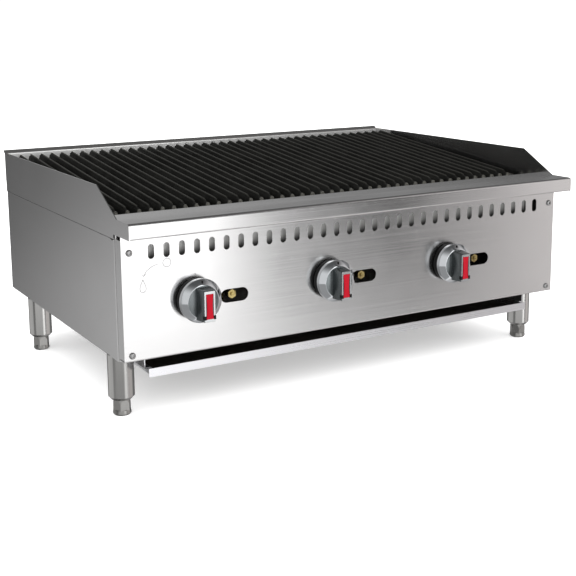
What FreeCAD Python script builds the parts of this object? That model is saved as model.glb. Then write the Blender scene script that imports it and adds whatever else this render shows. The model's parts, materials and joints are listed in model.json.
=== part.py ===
import FreeCAD, Part
import math
import os

os.makedirs("parts", exist_ok=True)

# A countertop gas charbroiler, in millimetres. The feet stand on z = 0 and the controls face -Y.

# Driving sizes
bodyWidth = 914.0
bodyDepth = 595.0
bodyBottom = 106.0
splashSkirt = 309.0
railTop = 342.5
splashTop = 387.0
sheet = 1.5
bendRadius = 1.5

# Reach past the cabinet, towards the cook and towards the wall
knobReach = 75.0
railReach = 66.0
panelReach = 23.0
inletReach = 30.0
bodyFront = (knobReach - bodyDepth - inletReach) / 2
bodyBack = bodyFront + bodyDepth
panelFront = bodyFront - panelReach
railFront = bodyFront - railReach
knobFront = bodyFront - knobReach

# Fits
runningGap = 0.05
threadGap = 0.05
boltGap = 0.3
curvedGap = 0.3

# Cabinet
halfWidth = bodyWidth / 2
sideFlange = 60.0
cornerFlange = 25.0
cornerRadius = 3.0
sideTop = splashSkirt + 11.0
frameThickness = 2.0
frameBottom = bodyBottom + sheet
frameRim = 58.0
frameFrontRim = 48.0
frameUpstand = 14.0
backSplit = 330.0
backVentPitch = 74.0
backVentMargin = 75.0
backVentCount = int(2 * (halfWidth - backVentMargin) / backVentPitch)
backVentSize = (44.0, 6.0)
backVentHeights = (268.0, 294.0)

# Front rail and splashes
railBottom = 316.5
railNose = 5.0
railBack = bodyFront + 29.0
railBackLip = 322.0
railFrontLip = 16.0
chamferFront = bodyFront - 15.0
chamferBack = bodyFront + 69.0
hemStart = splashTop - 2.0
hemBack = 8.5
hemRise = 6.5

# Control panel
panelHalf = halfWidth - 1.0
panelBottom = bodyBottom + 3.5
panelTop = railTop - sheet
panelTopFlange = 20.0
panelBottomLip = 21.0
ventPitch = 27.0
ventMargin = 45.0
ventCount = 2 * int((panelHalf - ventMargin) / ventPitch) + 1
ventSize = (11.0, 24.5)
ventHeight = 287.2
screwAcross = halfWidth - 14.0
screwHeights = (panelBottom + 10.2, 289.0)
screwShank = 2.4
screwHead = (5.6, 3.2)
screwSleeve = 5.0

# Burners, valves and knobs
burnerPitch = 261.0
burnerHalf = 67.0
burnerCentres = [-burnerPitch, 0.0, burnerPitch]
controlHeight = 200.0
stemRadius = 4.0
stemFlat = stemRadius - 1.4
stemFlatLength = 17.0
stemHole = 10.0
stemFront = panelFront - 21.0
knobBack = panelFront - 1.2
knobRadius = 37.0
knobBaseRadius = knobRadius - 1.4
knobFaceRadius = knobRadius - 9.0
knobBase = 10.8
knobRim = 9.0
knobBevel = 7.5
barWidth = 20.0
barFoot = 27.0
barLength = 51.4
barDrop = 2.8
insertSize = (13.0, 41.0)
insertDepth = 2.0
pilotOffset = 71.0
pilotSlot = (52.0, 23.0)
pilotHeight = 196.0
markHeight = 241.0
markRadius = 1.8
markRise = 0.7

valveFront = bodyFront + 8.0
valveBack = bodyFront + 44.0
valveHalf = 13.0
valveBore = 12.0
manifoldY = bodyFront + 28.0
manifoldHeight = bodyBottom + 44.0
pipeRadius = 13.35
pipeWall = 2.9
elbowWall = 3.5
manifoldLeft = 57.0 - halfWidth
manifoldRight = halfWidth - 77.0
capLength = 24.0
valveBoss = 9.0
pilotBoss = 7.0
bossTop = manifoldHeight + pipeRadius + 5.0
inletX = halfWidth - 52.0
inletHeight = frameBottom + frameUpstand + 1.15 + pipeRadius
inletThread = (pipeRadius - 0.35, 22.0)
valveCollar = (9.0, 5.0)
valveInletRadius = 6.5
valveChamfer = 4.0
hoodNut = 8.0
hoodLength = 13.0
hoodTip = 7.0
hoodTipRadii = (5.5, 3.0)
jetRadius = 0.8

pilotNut = (8.0, 9.0)
pilotBarrelRadius = 6.0
pilotSetback = 9.0
pilotReach = 32.0
pilotInletRadius = 4.5
pilotScrewRadius = 3.2
pilotTubeRadius = 2.4
pilotHead = (5.0, 16.0)
pilotFlame = (3.5, 12.0)
pilotJetRadius = 1.5

tubeRadius = 12.5
tubeWall = 1.2
burnerFront = bodyFront + 60.0
burnerBack = bodyBack - 55.0
burnerEnd = bodyFront + 125.0
shutterLength = 24.0
shutterWall = 1.5
shutterStart = burnerFront + 1.0
shutterMargin = 5.0
airWindow = 7.0
portCount = 12
portRadius = 1.6

# Firebox
linerHalf = halfWidth - 6.2
linerBottom = bodyBottom + 44.0
linerTop = 330.0
frontWall = bodyFront + 102.0
rearWall = bodyBack - 30.0
ledgeHeight = 240.0
ledgeDepth = 12.0
frontRestTop = 309.0
rearRestTop = 353.0
restThickness = 3.0
restHeight = 18.0
frontRestDepth = 26.0
rearRestDepth = 36.0
radiantHalf = 98.0
radiantApex = 284.0
radiantEave = 8.0
radiantEndGap = 2.0
radiantSlotPitch = 62.0
radiantSlotFirst = 60.0
radiantSlotOffset = 55.0
radiantSlot = (18.0, 8.0)
saddleY = bodyBack - 165.0
saddleDepth = 30.0
saddleThickness = 3.0
troughFront = bodyFront + 33.0
troughBack = bodyFront + 100.0
troughBottom = 292.0
troughTop = 308.0
troughBackTop = troughTop - 6.0
spoutX = burnerPitch / 2
spoutY = bodyFront + 68.0
spoutRadius = 9.0
spoutBottom = bodyBottom - 10.0

# Grates
grateCount = 7
barPitch = 21.4
barsPerGrate = int(2 * linerHalf / barPitch / grateCount)
barBase = 13.0
barShoulder = 6.0
ridgeWidth = 4.6
barBodyHeight = 21.0
barHeight = 25.0
grateFront = bodyFront + 90.0
grateBack = bodyBack - 39.0
grateRidgeHeight = 339.5
ridgeEndGap = 5.0
ridgeSetback = 12.0
ridgeCurve = 8.0
ribCount = 4
ribSize = (8.0, 8.5)
ribInset = 30.0
footDepth = 12.0
frontFoot = frontWall + 4.0
rearFoot = grateBack - 16.0
grateSlope = (rearRestTop - frontRestTop) / (rearFoot - frontFoot)

# Drip tray, legs and feet
trayFront = bodyFront - 4.0
trayBack = bodyBack - 35.0
trayBottom = bodyBottom - 33.5
trayFaceTop = trayBottom + 14.5
trayHalf = halfWidth - 57.0
trayFaceHalf = trayHalf + 7.0
trayRimTop = trayBottom + 14.0
hangerWeb = trayHalf + 8.5
hangerTopFlange = 11.5
hangerGap = 1.5
hangerFront = bodyFront + 8.0
legAcross = halfWidth - 21.0
legFront = bodyFront + 48.0
legBack = bodyBack - 111.5
legRadius = 22.2
legShoulder = 28.0
legTaper = 5.0
legStud = 6.0
legStudRise = 12.0
footStud = 8.0
footRadius = 15.6
footStudTop = legShoulder + 56.0
footPad = 3.0
footFlare = 6.0
footNutBottom = 8.0


def box(x0, x1, y0, y1, z0, z1):
    return Part.makeBox(x1 - x0, y1 - y0, z1 - z0, FreeCAD.Vector(x0, y0, z0))


def rod(x, y, z, axis, radius, length):
    return Part.makeCylinder(radius, length, FreeCAD.Vector(x, y, z), FreeCAD.Vector(*axis))


def union(shapes):
    return shapes[0].fuse(shapes[1:]).removeSplitter()


def mirrored(shape):
    """The same piece on the other side of the centre plane."""
    return shape.mirror(FreeCAD.Vector(0, 0, 0), FreeCAD.Vector(1, 0, 0))


def planeYZ(x):
    return lambda u, v: FreeCAD.Vector(x, u, v)


def planeXZ(y):
    return lambda u, v: FreeCAD.Vector(u, y, v)


def planeXY(z):
    return lambda u, v: FreeCAD.Vector(u, v, z)


def roundedLine(points, radii, place):
    """Edges through the points, with an arc of the given radius at each inner corner."""
    edges = []
    start = points[0]
    for i in range(1, len(points) - 1):
        ax, ay = points[i - 1]
        bx, by = points[i]
        cx, cy = points[i + 1]
        inLength = math.hypot(bx - ax, by - ay)
        outLength = math.hypot(cx - bx, cy - by)
        ux, uy = (bx - ax) / inLength, (by - ay) / inLength
        vx, vy = (cx - bx) / outLength, (cy - by) / outLength
        turn = math.acos(max(-1.0, min(1.0, ux * vx + uy * vy)))
        back = radii[i - 1] * math.tan(turn / 2)
        p = (bx - ux * back, by - uy * back)
        q = (bx + vx * back, by + vy * back)
        mx, my = vx - ux, vy - uy
        size = math.hypot(mx, my)
        lift = radii[i - 1] / math.cos(turn / 2) - radii[i - 1]
        middle = (bx + mx / size * lift, by + my / size * lift)
        edges.append(Part.makeLine(place(*start), place(*p)))
        edges.append(Part.Arc(place(*p), place(*middle), place(*q)).toShape())
        start = q
    edges.append(Part.makeLine(place(*start), place(*points[-1])))
    return edges


def bentSheet(points, place, along, side=1, thickness=sheet, radii=None):
    """A strip folded along the points, thickened to the left (side 1) or right (side -1)."""
    inner = radii or [bendRadius] * (len(points) - 2)
    directions = []
    for (ax, ay), (bx, by) in zip(points, points[1:]):
        length = math.hypot(bx - ax, by - ay)
        directions.append(((bx - ax) / length, (by - ay) / length))
    normals = [(-dy * side, dx * side) for dx, dy in directions]
    first = points[0]
    last = points[-1]
    shifted = [(first[0] + normals[0][0] * thickness, first[1] + normals[0][1] * thickness)]
    outerRadii = []
    shiftedRadii = []
    for i in range(1, len(points) - 1):
        n, m = normals[i - 1], normals[i]
        scale = thickness / (1 + n[0] * m[0] + n[1] * m[1])
        shifted.append((points[i][0] + (n[0] + m[0]) * scale, points[i][1] + (n[1] + m[1]) * scale))
        before, after = directions[i - 1], directions[i]
        cross = (before[0] * after[1] - before[1] * after[0]) * side
        outerRadii.append(inner[i - 1] + (thickness if cross > 0 else 0))
        shiftedRadii.append(inner[i - 1] + (0 if cross > 0 else thickness))
    shifted.append((last[0] + normals[-1][0] * thickness, last[1] + normals[-1][1] * thickness))
    edges = roundedLine(points, outerRadii, place)
    edges.append(Part.makeLine(place(*last), place(*shifted[-1])))
    edges += roundedLine(shifted[::-1], shiftedRadii[::-1], place)
    edges.append(Part.makeLine(place(*shifted[0]), place(*first)))
    face = Part.Face(Part.Wire(edges))
    return face.extrude(FreeCAD.Vector(*along))


def plate(points, place, along):
    corners = [place(*p) for p in points]
    return Part.Face(Part.makePolygon(corners + corners[:1])).extrude(FreeCAD.Vector(*along))


def obround(x, z, width, height, y0, y1):
    """A slot with round ends, cut along Y. The longer side sets its direction."""
    radius = min(width, height) / 2
    run = max(width, height) / 2 - radius
    depth = y1 - y0
    if width > height:
        ends = [(x - run, z), (x + run, z)]
        middle = box(x - run, x + run, y0, y1, z - radius, z + radius)
    else:
        ends = [(x, z - run), (x, z + run)]
        middle = box(x - radius, x + radius, y0, y1, z - run, z + run)
    return [middle] + [rod(ex, y0, ez, (0, 1, 0), radius, depth) for ex, ez in ends]


def knobX(centre):
    return centre - burnerHalf


def legPlaces():
    return [(side * legAcross, y) for y in (legFront, legBack) for side in (-1, 1)]


def sidePanel():
    """The right-hand side of the cabinet. The left one mirrors it."""
    profile = [
        (halfWidth - cornerFlange, bodyFront),
        (halfWidth, bodyFront),
        (halfWidth, bodyBack),
        (halfWidth - cornerFlange, bodyBack),
    ]
    height = sideTop - bodyBottom
    wall = bentSheet(profile, planeXY(bodyBottom), (0, 0, height), radii=[cornerRadius, bendRadius])
    floor = box(halfWidth - sideFlange, halfWidth - sheet, bodyFront + sheet, bodyBack - sheet,
                bodyBottom, frameBottom)
    panel = union([wall, floor])
    studs = [rod(legAcross, y, bodyBottom - 1, (0, 0, 1), legStud + boltGap, 5) for y in (legFront, legBack)]
    threads = [
        rod(screwAcross, bodyFront - 1, z, (0, 1, 0), screwShank + threadGap, 4) for z in screwHeights
    ]
    return panel.cut(studs + threads)


def backPanel():
    panel = box(-halfWidth, halfWidth, bodyBack, bodyBack + sheet, bodyBottom, backSplit)
    cuts = [rod(inletX, bodyBack - 1, inletHeight, (0, 1, 0), pipeRadius + 3, sheet + 2)]
    for height in backVentHeights:
        for i in range(backVentCount):
            x = (i - (backVentCount - 1) / 2) * backVentPitch
            cuts += obround(x, height, *backVentSize, bodyBack - 1, bodyBack + sheet + 1)
    return panel.cut(cuts)


def baseFrame():
    """A ring of folded channel inside the cabinet's floor, which the legs screw up into."""
    half = halfWidth - sheet
    front = bodyFront + sheet + cornerRadius
    back = bodyBack - sheet - cornerRadius
    top = frameBottom + frameThickness
    ring = box(-half, half, front, back, frameBottom, top)
    holeHalf = half - frameRim
    holeFront = front + frameFrontRim
    holeBack = back - frameFrontRim
    hole = box(-holeHalf, holeHalf, holeFront, holeBack, frameBottom - 1, top + 1)
    lipHalf = holeHalf + frameThickness
    lip = box(-lipHalf, lipHalf, holeFront - frameThickness, holeBack + frameThickness,
              frameBottom, frameBottom + frameUpstand)
    inner = box(-holeHalf, holeHalf, holeFront, holeBack, frameBottom - 1, frameBottom + frameUpstand + 1)
    studs = [rod(x, y, frameBottom - 1, (0, 0, 1), legStud + threadGap, 5) for x, y in legPlaces()]
    return union([ring.cut(hole), lip.cut(inner)]).cut(studs)


def frontPanel():
    flangeBack = panelFront + panelTopFlange
    profile = [
        (panelFront + panelBottomLip, panelBottom),
        (panelFront, panelBottom),
        (panelFront, panelTop),
        (flangeBack, panelTop),
    ]
    width = 2 * panelHalf
    body = bentSheet(profile, planeYZ(-panelHalf), (width, 0, 0), side=-1)
    returns = [
        box(side * panelHalf - (sheet if side > 0 else 0), side * panelHalf + (0 if side > 0 else sheet),
            panelFront + sheet, bodyFront, panelBottom + 2 * sheet, splashSkirt)
        for side in (-1, 1)
    ]
    sleeves = [
        rod(side * screwAcross, panelFront + sheet / 2, z, (0, 1, 0), screwSleeve, panelReach - sheet / 2)
        for side in (-1, 1)
        for z in screwHeights
    ]
    inside = panelFront + sheet / 2
    rise = sheet / 2 + markRise
    marks = [rod(knobX(c), inside, markHeight, (0, -1, 0), markRadius, rise) for c in burnerCentres]
    panel = union([body] + returns + sleeves + marks)
    y0 = panelFront - 2
    y1 = panelFront + sheet + 1
    cuts = []
    for i in range(ventCount):
        x = (i - (ventCount - 1) / 2) * ventPitch
        cuts += obround(x, ventHeight, *ventSize, y0, y1)
    for centre in burnerCentres:
        cuts.append(rod(knobX(centre), y0, controlHeight, (0, 1, 0), stemHole, y1 - y0))
        cuts += obround(knobX(centre) + pilotOffset, pilotHeight, *pilotSlot, y0, y1)
    for side in (-1, 1):
        for z in screwHeights:
            cuts.append(rod(side * screwAcross, y0, z, (0, 1, 0), screwShank + boltGap, panelReach + 5))
    return panel.cut(cuts)


def crossRecess(x, z, arm, face):
    half = 0.55
    depth = 1.8
    level = box(x - arm, x + arm, face - 1, face + depth, z - half, z + half)
    upright = box(x - half, x + half, face - 1, face + depth, z - arm, z + arm)
    return [level, upright]


def panelScrew(x, z):
    radius, height = screwHead
    head = rod(x, panelFront, z, (0, -1, 0), radius, height)
    rim = [e for e in head.Edges if abs(e.BoundBox.YMax - (panelFront - height)) < 0.01]
    head = head.makeFillet(height * 0.6, rim)
    shank = rod(x, panelFront - 0.5, z, (0, 1, 0), screwShank, panelReach + 5)
    return union([head, shank]).cut(crossRecess(x, z, radius * 0.55, panelFront - height))


def frontRail():
    profile = [
        (railBack, railBackLip),
        (railBack, railTop),
        (railFront, railTop),
        (railFront, railBottom),
        (railFront + railFrontLip, railBottom),
    ]
    radii = [bendRadius, railNose - sheet, bendRadius]
    return bentSheet(profile, planeYZ(-halfWidth), (bodyWidth, 0, 0), side=1, radii=radii)


def sideSplash():
    """The right-hand splash, whose front end closes the rail. The left one mirrors it."""
    corner = railNose * (1 - math.sqrt(0.5))
    place = planeYZ(halfWidth)
    nose = Part.Arc(
        place(railFront, railTop - railNose),
        place(railFront + corner, railTop - corner),
        place(railFront + railNose, railTop),
    ).toShape()
    loop = [
        (railFront + railNose, railTop),
        (chamferFront, railTop),
        (chamferBack, splashTop),
        (bodyBack, splashTop),
        (bodyBack, splashSkirt),
        (bodyFront, splashSkirt),
        (bodyFront, railBottom),
        (railFront, railBottom),
        (railFront, railTop - railNose),
    ]
    edges = [nose] + [Part.makeLine(place(*a), place(*b)) for a, b in zip(loop, loop[1:])]
    return Part.Face(Part.Wire(edges)).extrude(FreeCAD.Vector(sheet, 0, 0))


def backSplash():
    half = halfWidth + sheet
    profile = [(bodyBack, backSplit), (bodyBack, hemStart), (bodyBack + hemBack, hemStart + hemRise)]
    return bentSheet(profile, planeYZ(-half), (2 * half, 0, 0), side=-1)


def sideLiner():
    profile = [(linerHalf, linerBottom), (linerHalf, linerTop), (halfWidth, linerTop)]
    length = rearWall - frontWall - sheet
    return bentSheet(profile, planeXZ(frontWall + sheet), (0, length, 0), side=-1)


def frontLiner():
    half = linerHalf + sheet
    top = frontRestTop - restThickness
    wall = box(-half, half, frontWall, frontWall + sheet, linerBottom, top)
    back = frontWall + sheet
    ledge = box(-linerHalf, linerHalf, back, back + ledgeDepth, ledgeHeight - sheet, ledgeHeight)
    cuts = []
    for centre in burnerCentres:
        x = knobX(centre)
        cuts.append(rod(x, frontWall - 1, controlHeight, (0, 1, 0), tubeRadius + 0.8, sheet + 2))
        x = knobX(centre) + pilotOffset
        cuts.append(rod(x, frontWall - 1, pilotHeight, (0, 1, 0), pilotTubeRadius + 0.8, sheet + 2))
    return union([wall, ledge]).cut(cuts)


def rearLiner():
    half = linerHalf + sheet
    top = rearRestTop - restThickness
    wall = box(-half, half, rearWall, rearWall + sheet, linerBottom, top)
    ledge = box(-linerHalf, linerHalf, rearWall - ledgeDepth, rearWall, ledgeHeight - sheet, ledgeHeight)
    return union([wall, ledge])


def angleBar(front, back, legFront, top):
    under = top - restThickness
    flat = box(-linerHalf, linerHalf, front, back, under, top)
    upright = box(-linerHalf, linerHalf, legFront, legFront + restThickness, top - restHeight, under)
    return union([flat, upright])


def grateRests():
    """Two angle bars across the firebox, one under each end of the grates."""
    frontEnd = frontWall + frontRestDepth
    rearStart = rearWall + sheet - rearRestDepth
    front = angleBar(frontWall, frontEnd, frontEnd - restThickness, frontRestTop)
    rear = angleBar(rearStart, rearWall + sheet, rearStart, rearRestTop)
    return Part.makeCompound([front, rear])


def greaseTrough():
    half = halfWidth - sheet
    profile = [
        (troughFront, troughTop),
        (troughFront, troughBottom),
        (troughBack, troughBottom),
        (troughBack, troughBackTop),
    ]
    channel = bentSheet(profile, planeYZ(-half), (2 * half, 0, 0), side=1)
    ends = [
        box(x, x + sheet, troughFront + 0.5, troughBack - 0.5, troughBottom + 0.5, troughBackTop)
        for x in (-half, half - sheet)
    ]
    length = troughBottom + 1 - spoutBottom
    spout = rod(spoutX, spoutY, spoutBottom, (0, 0, 1), spoutRadius, length)
    bore = rod(spoutX, spoutY, spoutBottom - 1, (0, 0, 1), spoutRadius - sheet, length + 6)
    return union([channel] + ends + [spout]).cut(bore)


def radiant(centre):
    profile = [
        (centre - radiantHalf, ledgeHeight),
        (centre - radiantHalf, ledgeHeight + radiantEave),
        (centre, radiantApex),
        (centre + radiantHalf, ledgeHeight + radiantEave),
        (centre + radiantHalf, ledgeHeight),
    ]
    start = frontWall + sheet + radiantEndGap
    end = rearWall - radiantEndGap
    roof = bentSheet(profile, planeXZ(start), (0, end - start, 0), side=-1)
    width, depth = radiantSlot
    slotCount = int((end - start - radiantSlotFirst) / radiantSlotPitch)
    slots = []
    for i in range(slotCount):
        y = start + radiantSlotFirst + i * radiantSlotPitch
        for side in (-1, 1):
            x = centre + side * radiantSlotOffset
            slots.append(
                box(x - width / 2, x + width / 2, y, y + depth, ledgeHeight + radiantEave + 4, radiantApex)
            )
    return roof.cut(slots)


def uTube(centre, radius, front, end):
    """A tube that runs in beside the centre, turns round at the back and comes part of the way home."""
    bendCentre = burnerBack - burnerHalf
    first = rod(centre - burnerHalf, front, controlHeight, (0, 1, 0), radius, bendCentre - front)
    second = rod(centre + burnerHalf, end, controlHeight, (0, 1, 0), radius, bendCentre - end)
    bend = Part.makeTorus(burnerHalf, radius, FreeCAD.Vector(centre, bendCentre, controlHeight),
                          FreeCAD.Vector(0, 0, 1), -180, 180, 180)
    return union([first, bend, second])


def burner(centre):
    shell = uTube(centre, tubeRadius, burnerFront, burnerEnd)
    bore = uTube(centre, tubeRadius - tubeWall, burnerFront - 1, burnerEnd + tubeWall)
    tube = shell.cut(bore)
    x = centre - burnerHalf
    reach = tubeRadius + 5
    cuts = [box(x - reach, x + reach, shutterStart + shutterMargin,
                shutterStart + shutterLength - shutterMargin,
                controlHeight - airWindow, controlHeight + airWindow)]
    run = burnerBack - burnerHalf - frontWall - 60
    for side in (-1, 1):
        for i in range(portCount):
            y = frontWall + 40 + run * i / (portCount - 1)
            x = centre + side * burnerHalf
            cuts.append(rod(x, y, controlHeight, (0, 0, 1), portRadius, tubeRadius + 2))
    return tube.cut(cuts)


def burnerSaddle():
    top = controlHeight - tubeRadius - curvedGap
    return box(-linerHalf, linerHalf, saddleY, saddleY + saddleDepth, top - saddleThickness, top)


def airShutter(centre):
    """A sleeve on the burner's mouth whose two windows uncover the two in the tube."""
    x = centre - burnerHalf
    inner = tubeRadius + runningGap
    outer = inner + shutterWall
    sleeve = rod(x, shutterStart, controlHeight, (0, 1, 0), outer, shutterLength)
    crown = controlHeight + outer
    tab = box(x - 2, x + 2, shutterStart + 8, shutterStart + 16, crown - 1, crown + 7)
    bore = rod(x, shutterStart - 1, controlHeight, (0, 1, 0), inner, shutterLength + 2)
    start = shutterStart + shutterMargin
    end = shutterStart + shutterLength - shutterMargin
    half = airWindow - 0.5
    reach = outer + 5
    windows = box(x - reach, x + reach, start, end, controlHeight - half, controlHeight + half)
    return union([sleeve, tab]).cut([bore, windows])


def gasManifold():
    length = manifoldRight - manifoldLeft
    pipe = rod(manifoldLeft, manifoldY, manifoldHeight, (1, 0, 0), pipeRadius, length)
    cap = rod(manifoldLeft - 8, manifoldY, manifoldHeight, (1, 0, 0), pipeRadius + 4, capLength)
    bosses = []
    for centre in burnerCentres:
        for x, radius in ((knobX(centre), valveBoss), (knobX(centre) + pilotOffset, pilotBoss)):
            bosses.append(rod(x, manifoldY, manifoldHeight, (0, 0, 1), radius, bossTop - manifoldHeight))
    bore = rod(manifoldLeft + 10, manifoldY, manifoldHeight, (1, 0, 0), pipeRadius - pipeWall, length)
    return union([pipe, cap] + bosses).cut(bore)


def gasInletPipe():
    """An elbow on the manifold's end, a drop, and the run under the firebox to the threaded inlet."""
    end = bodyBack + inletReach
    fitting = pipeRadius + elbowWall
    threadRadius, threadLength = inletThread
    corner = FreeCAD.Vector(inletX, manifoldY, manifoldHeight)
    low = FreeCAD.Vector(inletX, manifoldY, inletHeight)
    arm = rod(manifoldRight, manifoldY, manifoldHeight, (1, 0, 0), fitting, inletX - manifoldRight)
    drop = rod(inletX, manifoldY, inletHeight, (0, 0, 1), fitting, manifoldHeight - inletHeight)
    balls = [Part.makeSphere(fitting, corner), Part.makeSphere(fitting, low)]
    collar = rod(inletX, manifoldY, inletHeight, (0, 1, 0), fitting, fitting + 4)
    run = rod(inletX, manifoldY, inletHeight, (0, 1, 0), pipeRadius, end - threadLength - manifoldY)
    thread = rod(inletX, end - threadLength - 1, inletHeight, (0, 1, 0), threadRadius, threadLength + 1)
    bore = rod(inletX, manifoldY, inletHeight, (0, 1, 0), pipeRadius - pipeWall, end - manifoldY + 1)
    return union([arm, drop, collar, run, thread] + balls).cut(bore)


def valveBody(centre):
    x = knobX(centre)
    block = box(x - valveHalf, x + valveHalf, valveFront, valveBack, controlHeight - valveHalf,
                controlHeight + valveHalf)
    edges = [e for e in block.Edges if abs(e.Length - (valveBack - valveFront)) < 0.01]
    block = block.makeChamfer(valveChamfer, edges)
    collar = rod(x, valveFront - valveCollar[1] + 1, controlHeight, (0, 1, 0), *valveCollar)
    inlet = rod(x, manifoldY, bossTop, (0, 0, 1), valveInletRadius, controlHeight - bossTop)
    bore = rod(x, valveFront - 5, controlHeight, (0, 1, 0), stemRadius + runningGap, valveBore + 5)
    return union([block, collar, inlet]).cut(bore)


def hexPrism(x, z, place, radius, turn, along):
    """A hexagonal bar whose first corner is turned by so many degrees."""
    corners = []
    for i in range(6):
        angle = math.radians(turn + 60 * i)
        corners.append((x + radius * math.cos(angle), z + radius * math.sin(angle)))
    return plate(corners, place, along)


def orificeHood(centre):
    x = knobX(centre)
    nut = hexPrism(x, controlHeight, planeXZ(valveBack), hoodNut, 0, (0, hoodLength, 0))
    tip = Part.makeCone(*hoodTipRadii, hoodTip, FreeCAD.Vector(x, valveBack + hoodLength, controlHeight),
                        FreeCAD.Vector(0, 1, 0))
    jet = rod(x, valveBack + hoodLength, controlHeight, (0, 1, 0), jetRadius, hoodTip + 1)
    return union([nut, tip]).cut(jet)


def pilotValve(centre):
    x = knobX(centre) + pilotOffset
    front = panelFront + pilotSetback
    radius, length = pilotNut
    barrelStart = front + length - 1
    barrelEnd = valveFront + pilotReach
    nut = hexPrism(x, pilotHeight, planeXZ(front), radius, 30, (0, length, 0))
    barrel = rod(x, barrelStart, pilotHeight, (0, 1, 0), pilotBarrelRadius, barrelEnd - barrelStart)
    inlet = rod(x, manifoldY, bossTop, (0, 0, 1), pilotInletRadius, pilotHeight - bossTop)
    screw = rod(x, front - 3, pilotHeight, (0, 1, 0), pilotScrewRadius, 4)
    reach = pilotScrewRadius + 1
    slot = box(x - reach, x + reach, front - 4, front - 1.5, pilotHeight - 0.5, pilotHeight + 0.5)
    return union([nut, barrel, inlet, screw]).cut(slot)


def pilotBurner(centre):
    x = knobX(centre) + pilotOffset
    start = valveFront + pilotReach
    end = frontWall + 34
    tube = rod(x, start, pilotHeight, (0, 1, 0), pilotTubeRadius, end - start)
    head = rod(x, end - 1, pilotHeight, (0, 1, 0), *pilotHead)
    middle = end - 1 + pilotHead[1] / 2
    flame = rod(x, middle, pilotHeight, (0, 0, 1), *pilotFlame)
    jet = rod(x, middle, pilotHeight, (0, 0, 1), pilotJetRadius, pilotFlame[1] + 1)
    return union([tube, head, flame]).cut(jet)


def valveStem(centre):
    x = knobX(centre)
    end = valveFront + valveBore - 0.5
    stem = rod(x, stemFront, controlHeight, (0, 1, 0), stemRadius, end - stemFront)
    flat = box(x - stemRadius, x + stemRadius, stemFront - 1, stemFront + stemFlatLength + 1,
               controlHeight + stemFlat, controlHeight + stemRadius + 1)
    return stem.cut(flat)


def knob(centre):
    """A round base, a rim, a bevelled shoulder and a raised grip bar, set upright at off."""
    x = knobX(centre)
    z = controlHeight
    back = (0, -1, 0)
    ahead = FreeCAD.Vector(*back)
    baseFront = knobBack - knobBase
    rimFront = baseFront - knobRim
    face = rimFront - knobBevel
    base = rod(x, knobBack, z, back, knobBaseRadius, knobBase)
    rim = Part.makeCone(knobBaseRadius, knobRadius, knobRim, FreeCAD.Vector(x, baseFront, z), ahead)
    bevel = Part.makeCone(knobRadius, knobFaceRadius, knobBevel, FreeCAD.Vector(x, rimFront, z), ahead)
    half = barLength / 2
    middle = z - barDrop
    grip = plate(
        [(x - barFoot / 2, face + 1), (x - barWidth / 2, knobFront), (x + barWidth / 2, knobFront),
         (x + barFoot / 2, face + 1)],
        planeXY(middle - half),
        (0, 0, barLength + 2),
    )
    top = middle + half
    topCut = plate([(face, top + 3), (knobFront - 1, top - 1), (knobFront - 1, top + 10), (face, top + 10)],
                   planeYZ(x - barFoot), (2 * barFoot, 0, 0))
    pocket = box(x - insertSize[0] / 2, x + insertSize[0] / 2, knobFront - 1, knobFront + insertDepth,
                 middle - insertSize[1] / 2, middle + insertSize[1] / 2)
    bore = rod(x, knobBack + 1, z, back, stemRadius + threadGap, knobBack + 1 - stemFront)
    key = box(x - stemRadius - 1, x + stemRadius + 1, stemFront, stemFront + stemFlatLength,
              z + stemFlat + threadGap, z + stemRadius + 1)
    hollow = bore.cut(key)
    return union([base, rim, bevel, grip]).cut([topCut, pocket, hollow])


def knobInsert(centre):
    """The coloured strip let into the grip, pinched at its waist."""
    x = knobX(centre)
    halfX = insertSize[0] / 2
    halfZ = insertSize[1] / 2
    waist = 1.6
    place = planeXZ(knobFront + 0.3)
    corners = [(x - halfX, -halfZ), (x + halfX, -halfZ), (x + halfX, halfZ), (x - halfX, halfZ)]
    middle = controlHeight - barDrop
    points = [place(px, middle + pz) for px, pz in corners]
    rightMiddle = place(x + halfX - waist, middle)
    leftMiddle = place(x - halfX + waist, middle)
    edges = [
        Part.makeLine(points[0], points[1]),
        Part.Arc(points[1], rightMiddle, points[2]).toShape(),
        Part.makeLine(points[2], points[3]),
        Part.Arc(points[3], leftMiddle, points[0]).toShape(),
    ]
    return Part.Face(Part.Wire(edges)).extrude(FreeCAD.Vector(0, insertDepth - 0.3, 0))


def dripTray():
    """Welded from flat sheets that meet edge to edge, so each sheet stays a solid of its own."""
    front = trayFront + sheet
    floorTop = trayBottom + sheet
    inner = trayHalf - sheet
    floor = box(-trayHalf, trayHalf, front, trayBack, trayBottom, floorTop)
    face = box(-trayFaceHalf, trayFaceHalf, trayFront, front, trayBottom, trayFaceTop)
    back = box(-inner, inner, trayBack - sheet, trayBack, floorTop, trayRimTop)
    pieces = [floor, face, back]
    for side in (-1, 1):
        wall = sorted((side * inner, side * trayHalf))
        rim = sorted((side * trayHalf, side * (hangerWeb - 1)))
        pieces.append(box(*wall, front, trayBack, floorTop, trayRimTop))
        pieces.append(box(*rim, hangerFront, trayBack, trayRimTop - sheet, trayRimTop))
    return Part.makeCompound(pieces)


def trayHangers():
    shelf = trayRimTop - sheet
    profile = [
        (hangerWeb - hangerTopFlange, bodyBottom),
        (hangerWeb + sheet, bodyBottom),
        (hangerWeb + sheet, shelf - sheet),
        (trayHalf + hangerGap, shelf - sheet),
    ]
    length = trayBack - hangerFront
    right = bentSheet(profile, planeXZ(hangerFront), (0, length, 0), side=-1, radii=[0.5, 0.5])
    return Part.makeCompound([right, mirrored(right)])


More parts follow.
